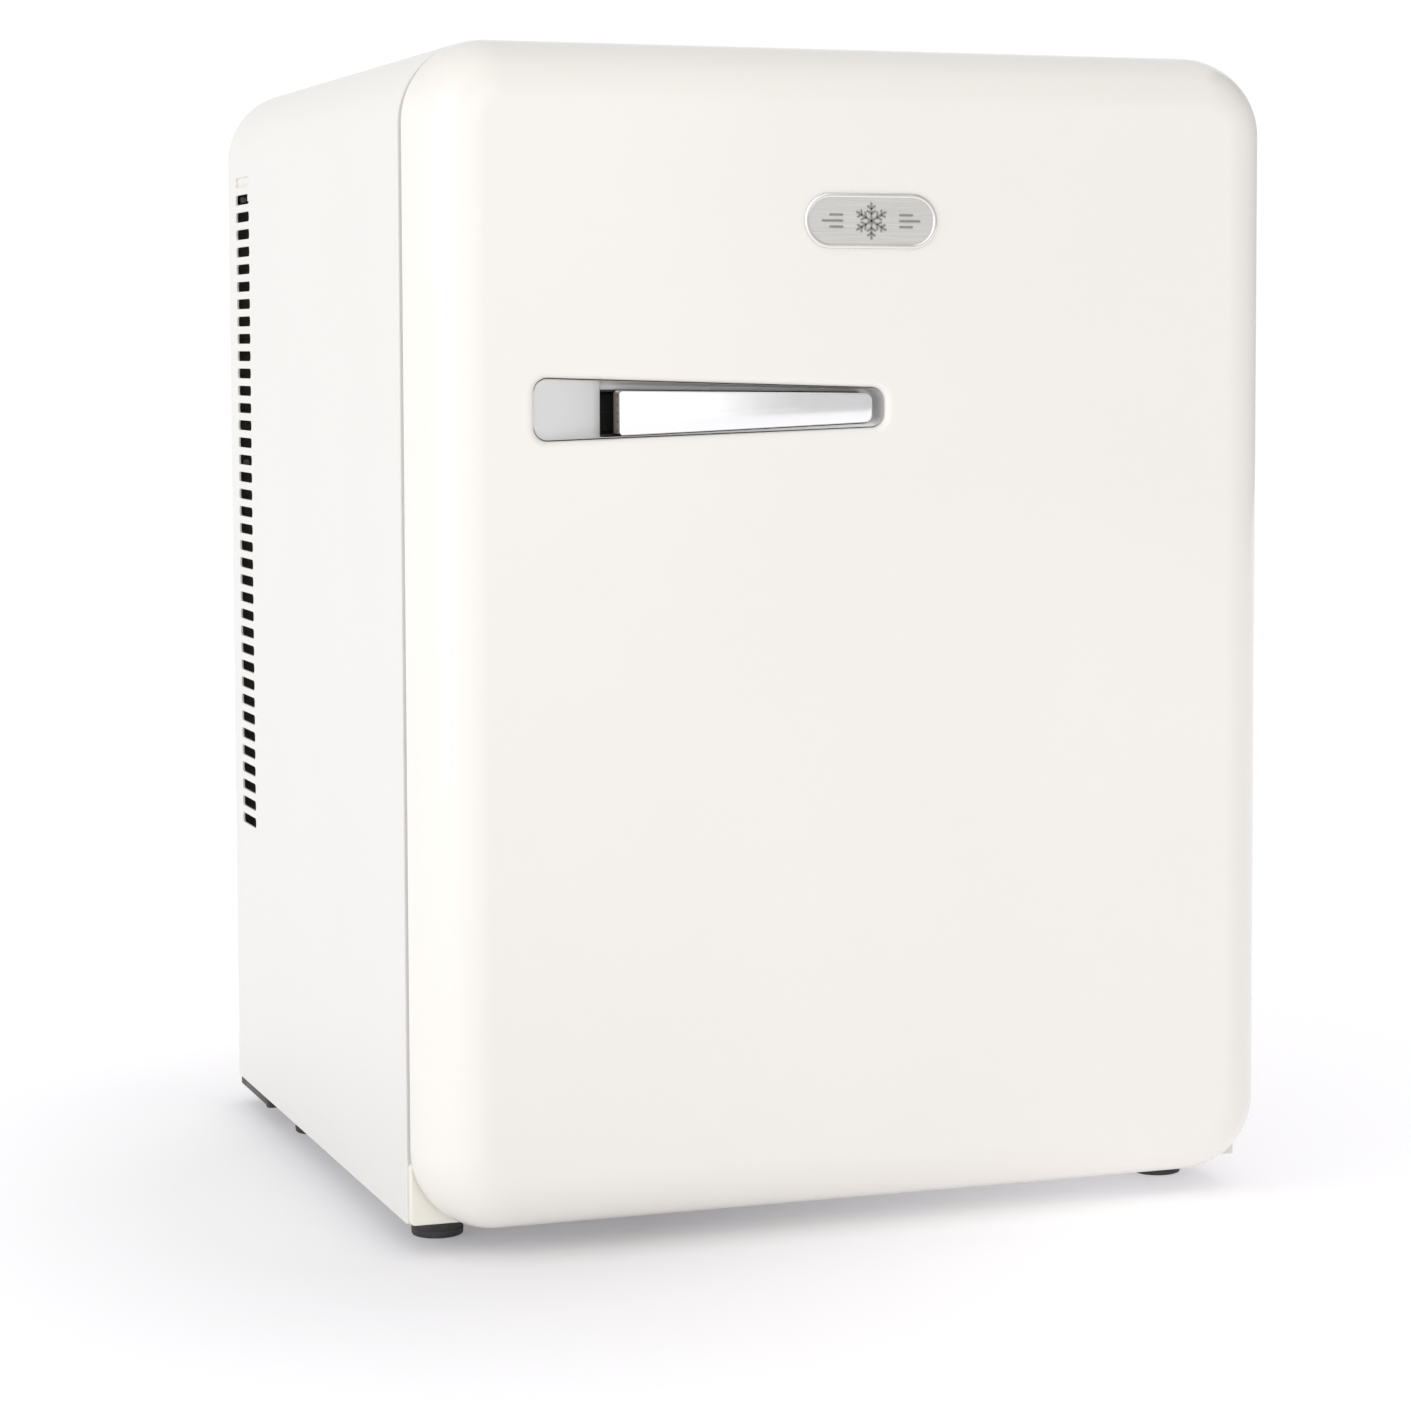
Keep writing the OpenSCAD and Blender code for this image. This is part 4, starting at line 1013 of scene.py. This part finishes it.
def build_liner():
    low, high = box("inner_liner")
    cavity_x, floor, ceiling, back = 162.0, 60.0, SHELL_HIGH.z - 44, 85.0
    front = low.y

    def flange_ring(inset, y):
        return inset_ring(low, high, inset, "y", y, (1.0, 21.8 - inset))

    def cavity_ring(grow, y):
        a, b = (-cavity_x - grow, floor - grow), (cavity_x + grow, ceiling + grow)
        return at(rect_ring(a, b, 12 + grow), "y", y)

    flange = ((0.6, 1.5), (0, 1.2), (0, 0.3), (0.3, 0))
    rings = [flange_ring(inset, front + y) for inset, y in flange]
    for a in (0, 0.4, 0.8, 1.2, 1.5708):
        rings.append(cavity_ring(3 - 3 * sin(a), front + 3 - 3 * cos(a)))
    rings += [cavity_ring(-i, back - d) for i, d in quarter(11, 6)]
    inner = Shape()
    inner.loft(rings, caps=(False, True))
    outer = [cavity_ring(-9, back + 1.5), cavity_ring(1.5, back - 8), cavity_ring(1.5, front + 1.5)]
    outer += [flange_ring(0.6, front + 1.5)]
    inner.loft(outer, caps=(True, False))
    for name in ("shelf_lower", "shelf_upper"):
        z = box(name)[0].z - 0.3
        for side in (-1, 1):
            for z0 in (z - 4, z + 8):
                a, b = side * (cavity_x + 0.5), side * (cavity_x - 6)
                inner.slab((a, -128, z0), (b, 80, z0 + 4), "z", 3, 1.2)
    obj = inner.object("inner_liner_moulding", "liner_plastic", sharp=40)
    place(obj, "cabinet", "liner_plastic", "inner_liner")


def build_rail():
    low, high = box("bottom_front_rail")
    rail = Shape()
    rail.slab((low.x, low.y, low.z), (140, low.y + 5.1, high.z), "y", 2, 0.9, 4)
    inner = -low.x - 13.2
    rail.slab((-inner, low.y + 5.0, low.z), (inner, high.y, high.z), "y", 0.8, 0.3)
    place(rail.object("front_kick_rail", "rail_plastic"), "cabinet", "rail_plastic", "bottom_front_rail")


def build_feet():
    def profile(top, bore):
        """Tapered rubber foot with a rounded tread edge and a shallow groove."""
        side = [(bore, 0.0), (10.6, 0.0), (11.2, 0.25), (11.5, 0.9), (11.62, 3.2), (11.3, 3.5), (11.3, 4.1)]
        return side + [(11.66, 4.4), (11.9, top - 0.8), (11.75, top - 0.25), (11.2, top), (0.01, top)]

    for name, body in (("front_foot_left", "foot_left"), ("front_foot_right", "foot_right")):
        low, high = box(name)
        x, y, _ = middle(low, high)
        foot = Shape()
        foot.lathe([(0.01, 0.6), (3.0, 0.6), (3.6, 0.0), *profile(13.6, 3.6)[1:]], (x, y, 0), steps=64)
        foot.lathe([(0.01, 13.5), (4, 13.5), (4, high.z - 0.6), (3.4, high.z)], (x, y, 0), steps=32, slot=1)
        obj = foot.object(name + "_pad", "foot_rubber", "zinc_steel")
        place(obj, body, "foot_rubber", name)
    rear = Shape()
    low, high = box("rear_feet")
    y = middle(low, high)[1]
    for x in (low.x + 12, high.x - 12):
        rear.lathe([(0.01, 6), (5, 6), (5, 0.4), (5.4, 0.0), *profile(14, 5.4)[1:]], (x, y, 0), steps=64)
    place(rear.object("rear_foot_pads", "foot_rubber"), "cabinet", "foot_rubber", "rear_feet")


def build_base_frame():
    low, high = box("rear_base_frame")
    bar = Shape()
    bar.slab((low.x, 187, low.z + 0.9), (high.x, high.y, high.z), "z", 3, 0.8)
    for side in (-1, 1):
        a, b = side * high.x, side * (high.x - 12)
        bar.slab((a, 137, low.z + 0.9), (b, 190, high.z), "z", 2.5, 0.8)
        bar.slab((a, 133, low.z), (b, 139, high.z), "z", 2.4, 0.8)
    place(bar.object("rear_skid_frame", "dark_plastic"), "cabinet", "dark_plastic", "rear_base_frame")


def build_rear_cover():
    low, high = box("rear_cover")
    inset = SHELL_HIGH.x - high.x
    plate = Shape()
    section = ((0.25, low.y), (0, low.y + 0.25), (0, high.y - 0.25), (0.25, high.y))
    plate.loft([at(arch_path(inset + i, low.z), "y", y) for i, y in section])
    obj = plate.object("rear_panel", "cover_enamel", "vent_painted_shade")
    cutter = Shape()

    def cut(a, b, corner=1.9, steps=4):
        cutter.prism(rect_ring(a, b, corner, steps), "y", (low.y - 2, high.y + 2))

    fan = middle(*box("hot_fan_rotor"))[2]
    for i in range(-5, 6):
        half = sqrt(44 * 44 - 64 * i * i)
        cut((-half, fan + 8 * i - 2), (half, fan + 8 * i + 2))
    for i in range(16):
        for x in (-110, 20):
            cut((x, 130 + 9 * i), (x + 90, 134 + 9 * i))
    cut((96, 40), (124, 60), 1, 2)
    carve(obj, cutter)
    soften(obj, 0.2)
    # The cover's inner face, seen through the vents, gets the dark painted shade too.
    paint_shade_inside(obj, lambda y: y < low.y + 0.3)
    place(obj, "cabinet", "cover_enamel", "rear_cover")


def cross_head(shape, centre, r, height, sign):
    """Pan screw head along y, with a cross recess drawn as a star-shaped dip."""

    def star(scale):
        arm, width = r * 0.5 * scale, r * 0.14 * scale
        ring = []
        for k in range(4):
            a = pi / 2 * k
            out = Vector(polar(1, a))
            across = Vector((-out.y, out.x))
            for p in (out * arm - across * width, out * arm, out * arm + across * width):
                ring.append(tuple(p))
            ring.append(tuple((out + across) * width * 1.15))
        return ring

    profile = [(r, 0), (r, 0.35), (r * 0.86, 0.8), (r * 0.6, 1)]
    section = [(circle_ring(q, 16), level) for q, level in profile] + [(star(1.0), 1), (star(0.6), 0.35)]
    x, y, z = centre
    shape.loft([at(ring, "y", y + sign * height * level, (x, z)) for ring, level in section])


def screw_set(name, node, centres, head, sign, shaft):
    """Screws along y. head and shaft: radius and length. sign: the side that the heads are on."""
    screws = Shape()
    for centre in centres:
        cross_head(screws, centre, *head, sign)
        screws.lathe([(shaft[0], 0), (shaft[0], -sign * shaft[1])], centre, "y", 12)
    place(screws.object(name, "zinc_steel", sharp=30), "cabinet", "zinc_steel", node)


def build_screws():
    low, high = box("rear_cover_screws")
    back = box("rear_cover")[1].y
    places = [(x, back, z) for x in (low.x + 3.4, high.x - 3.4) for z in (45, 190, 335, 470)]
    screw_set("rear_panel_screws", "rear_cover_screws", places, (3.4, high.y - back), 1, (1.6, 6))
    low, high = box("cold_cover_screws")
    z = middle(low, high)[2]
    places = [(x, low.y + 1.6, z) for x in (low.x + 3.6, high.x - 3.6)]
    screw_set("cold_cover_fixings", "cold_cover_screws", places, (3.6, 1.6), -1, (2, 9))
    low, high = box("hinge_screws")
    rows = ((low.z + 3.2, low.y - 0.5), (high.z - 3.2, low.y))
    places = [(x, front, z) for z, front in rows for x in (low.x + 3.2, high.x - 3.2)]
    screw_set("hinge_bracket_screws", "hinge_screws", places, (3.2, 0.9), -1, (1.6, 7))


# ---- inside


def build_shelf(name):
    low, high = box(name)
    r, thin = (high.z - low.z) / 2, 1.5
    z = low.z + r
    left, right, front, rear = low.x + r, high.x - r, low.y + r, high.y - r
    corners = [(left, front, z), (right, front, z), (right, rear, z), (left, rear, z)]
    shelf = Shape()
    shelf.tube(bent_path(corners, 9, 7, loop=True), r, loop=True, sides=16)
    for y in (front + 44, front + 88):
        shelf.tube([(left, y, low.z + 1.9), (right, y, low.z + 1.9)], 1.9)
    for i in range(-8, 9):
        shelf.tube([(17.5 * i, front, high.z - thin), (17.5 * i, rear, high.z - thin)], thin, sides=10)
    place(shelf.object(name + "_wires", "wire_chrome", sharp=60), name, "wire_chrome", name)
    a, b = box(name + "_guard")
    peak = b.z - thin
    left, right = a.x + thin, b.x - thin
    path = [(left, rear, z), (left, rear, peak), (right, rear, peak), (right, rear, z)]
    guard = Shape()
    guard.tube(bent_path(path, 6, 6), thin, sides=10)
    place(guard.object(name + "_guard_wire", "wire_chrome", sharp=60), name, "wire_chrome", name + "_guard")


def build_cold_cover():
    low, high = box("cold_air_cover")
    half = 88.0

    def ring(inset, y, corner=10.0):
        a, b = (-half, 0, low.z), (half, 0, high.z)
        return inset_ring(a, b, inset, "y", y, corner - inset, 6)

    rings = [ring(2, high.y), ring(2, low.y + 5, 12)]
    rings += [ring(2 + i, low.y + 2 + d, 12) for i, d in quarter(3, 3)]
    cover = Shape()
    outer = [ring(i, low.y + d) for i, d in reversed(quarter(4, 5))]
    cover.loft(rings[::-1] + [ring(0, high.y)] + outer[::-1])
    obj = cover.object("cold_air_grille", "white_plastic")
    fan = middle(low, high)[2]
    cutter = Shape()
    for i in range(-4, 5):
        slit = rect_ring((-27, fan + 6 * i - 1.5), (27, fan + 6 * i + 1.5), 1.4, 3)
        cutter.prism(slit, "y", (low.y - 3, low.y + 6))
    for i in range(-5, 6):
        a, b = (12 * i - 3.5, low.y + 10, low.z - 2), (12 * i + 3.5, high.y - 6, low.z + 4)
        cutter.slab(a, b, "z", 1.5, 0.01, 2)
    cutter.lathe([(4.2, -3), (4.2, 6)], (64, low.y, fan), "y", 24)
    carve(obj, cutter)
    soften(obj, 0.25)
    tabs = Shape()
    for side in (-1, 1):
        a, b = side * (half - 1), side * high.x
        tabs.slab((a, high.y - 2, fan - 9), (b, high.y, fan + 9), "y", 4, 0.5)
    join(obj, tabs.object("tabs", "white_plastic"))
    place(obj, "cabinet", "white_plastic", "cold_air_cover")


def build_knob():
    low, high = box("thermostat_knob")
    x, _, z = middle(low, high)
    skirt = low.y + 10
    knob = Shape()
    profile = [(3, 15), (3, 3.6), (13.2, 3.5), (14, 2.9), (13.8, 1.6), (12.9, 0.5), (11.5, 0)]
    knob.lathe(profile, (x, skirt, z), "y", 60)
    grip = [(3.0, 0.6), (3.0, -8.6), (2.8, -9.4), (2.3, -9.9), (1.4, -10)]
    rings = []
    for half, level in grip:
        ring = rect_ring((-half, -13 + (3 - half)), (half, 13 - (3 - half)), half * 0.95, 5)
        rings.append(at(ring, "y", skirt + level, (x, z)))
    knob.loft(rings)
    knob.slab((x - 0.5, low.y, z + 5), (x + 0.5, low.y + 0.6, z + 12), "y", 0.4, 0.1, 1, slot=1)
    obj = knob.object("thermostat_dial", "white_plastic", "dark_plastic")
    place(obj, "thermostat_knob", "white_plastic", "thermostat_knob")
    marks = Shape()
    cover = box("cold_air_cover")[0].y
    for k in range(7):
        a = radians(225 - 45 * k)
        r = 18.5
        size = 0.7 + 0.14 * k
        spot = (x + r * cos(a), cover, z + r * sin(a))
        marks.lathe([(size, 0.1), (size, -0.12), (size * 0.8, -0.2)], spot, "y", 16)
    place(marks.object("thermostat_dots", "dark_plastic"), "cabinet", "dark_plastic")


def build_lamp():
    low, high = box("lamp_housing")
    hood = Shape()
    hood.slab((low.x, low.y, high.z - 6), high, "z", 5, 1.2)
    hood.slab(low, (high.x, high.y, high.z - 5.5), "z", 5, 0.6)
    base = hood.object("lamp_base", "white_plastic")
    place(base, "cabinet", "white_plastic", "lamp_housing", "lamp_board")
    low, high = box("lamp_lens")
    lens = Shape()
    lens.slab(low, (high.x, high.y, low.z + 1.6), "z", 5, 0.7)
    for i in range(-5, 6):
        lens.slab((4.4 * i - 1.1, low.y + 3, low.z), (4.4 * i + 1.1, high.y - 3, low.z + 0.6), "z", 1, 0.3)
    place(lens.object("lamp_diffuser", "frosted"), "cabinet", "lens", "lamp_lens")


# ---- carried-over CAD nodes

# Slot, material and the CAD nodes that get them.
DRESSED = (
    ("zinc_steel", "zinc_steel", "base_plate hinge_bracket_upper hinge_bracket_lower hinge_pin_upper"),
    ("zinc_steel", "zinc_steel", "hinge_pin_lower rear_foot_screws handle_screws"),
    ("foam", "blown_foam", "cabinet_foam door_foam"),
    ("duct_sheet", "aluminium", "inner_back_plate power_supply_case"),
    ("duct_foam", "bead_foam", "duct_ceiling_block"),
    ("dark_plastic", "dark_plastic", "front_foot_inserts thermostat power_inlet"),
    ("aluminium", "aluminium", "hot_spreader_block hot_heatsink cold_block cold_heatsink"),
    ("fan_plastic", "fan_plastic", "hot_fan_frame hot_fan_rotor cold_fan_frame cold_fan_rotor"),
    ("ceramic", "ceramic", "peltier_module"),
    ("board", "board_green", "power_supply_board"),
    ("brass", "brass", "inlet_pins"),
    ("magnet", "magnet_strip", "gasket_magnets"),
    ("nylon", "nylon", "hinge_bush_upper hinge_bush_lower"),
)


def dress_cad_nodes():
    """Gives the kept CAD nodes their material, welded corners and small rounded edges."""
    for slot, look, names in DRESSED:
        for name in names.split():
            node = NODES[name]
            node.data.materials.clear()
            node.data.materials.append(find_look(look).material)
            weld = node.modifiers.new("weld", "WELD")
            weld.merge_threshold = 0.01 * MM
            round_edges(node, 0.3, 50)


# ---- build

make_camera()
make_studio()
build_door_skin()
build_handle_tray()
build_handle_bar()
build_badge()
build_gasket()
build_door_liner()
for rack_name in RACKS:
    build_rack(rack_name)
build_outer_shell()
build_liner()
build_rail()
build_feet()
build_base_frame()
build_rear_cover()
build_screws()
for shelf_name in ("shelf_lower", "shelf_upper"):
    build_shelf(shelf_name)
build_cold_cover()
build_knob()
build_lamp()
dress_cad_nodes()
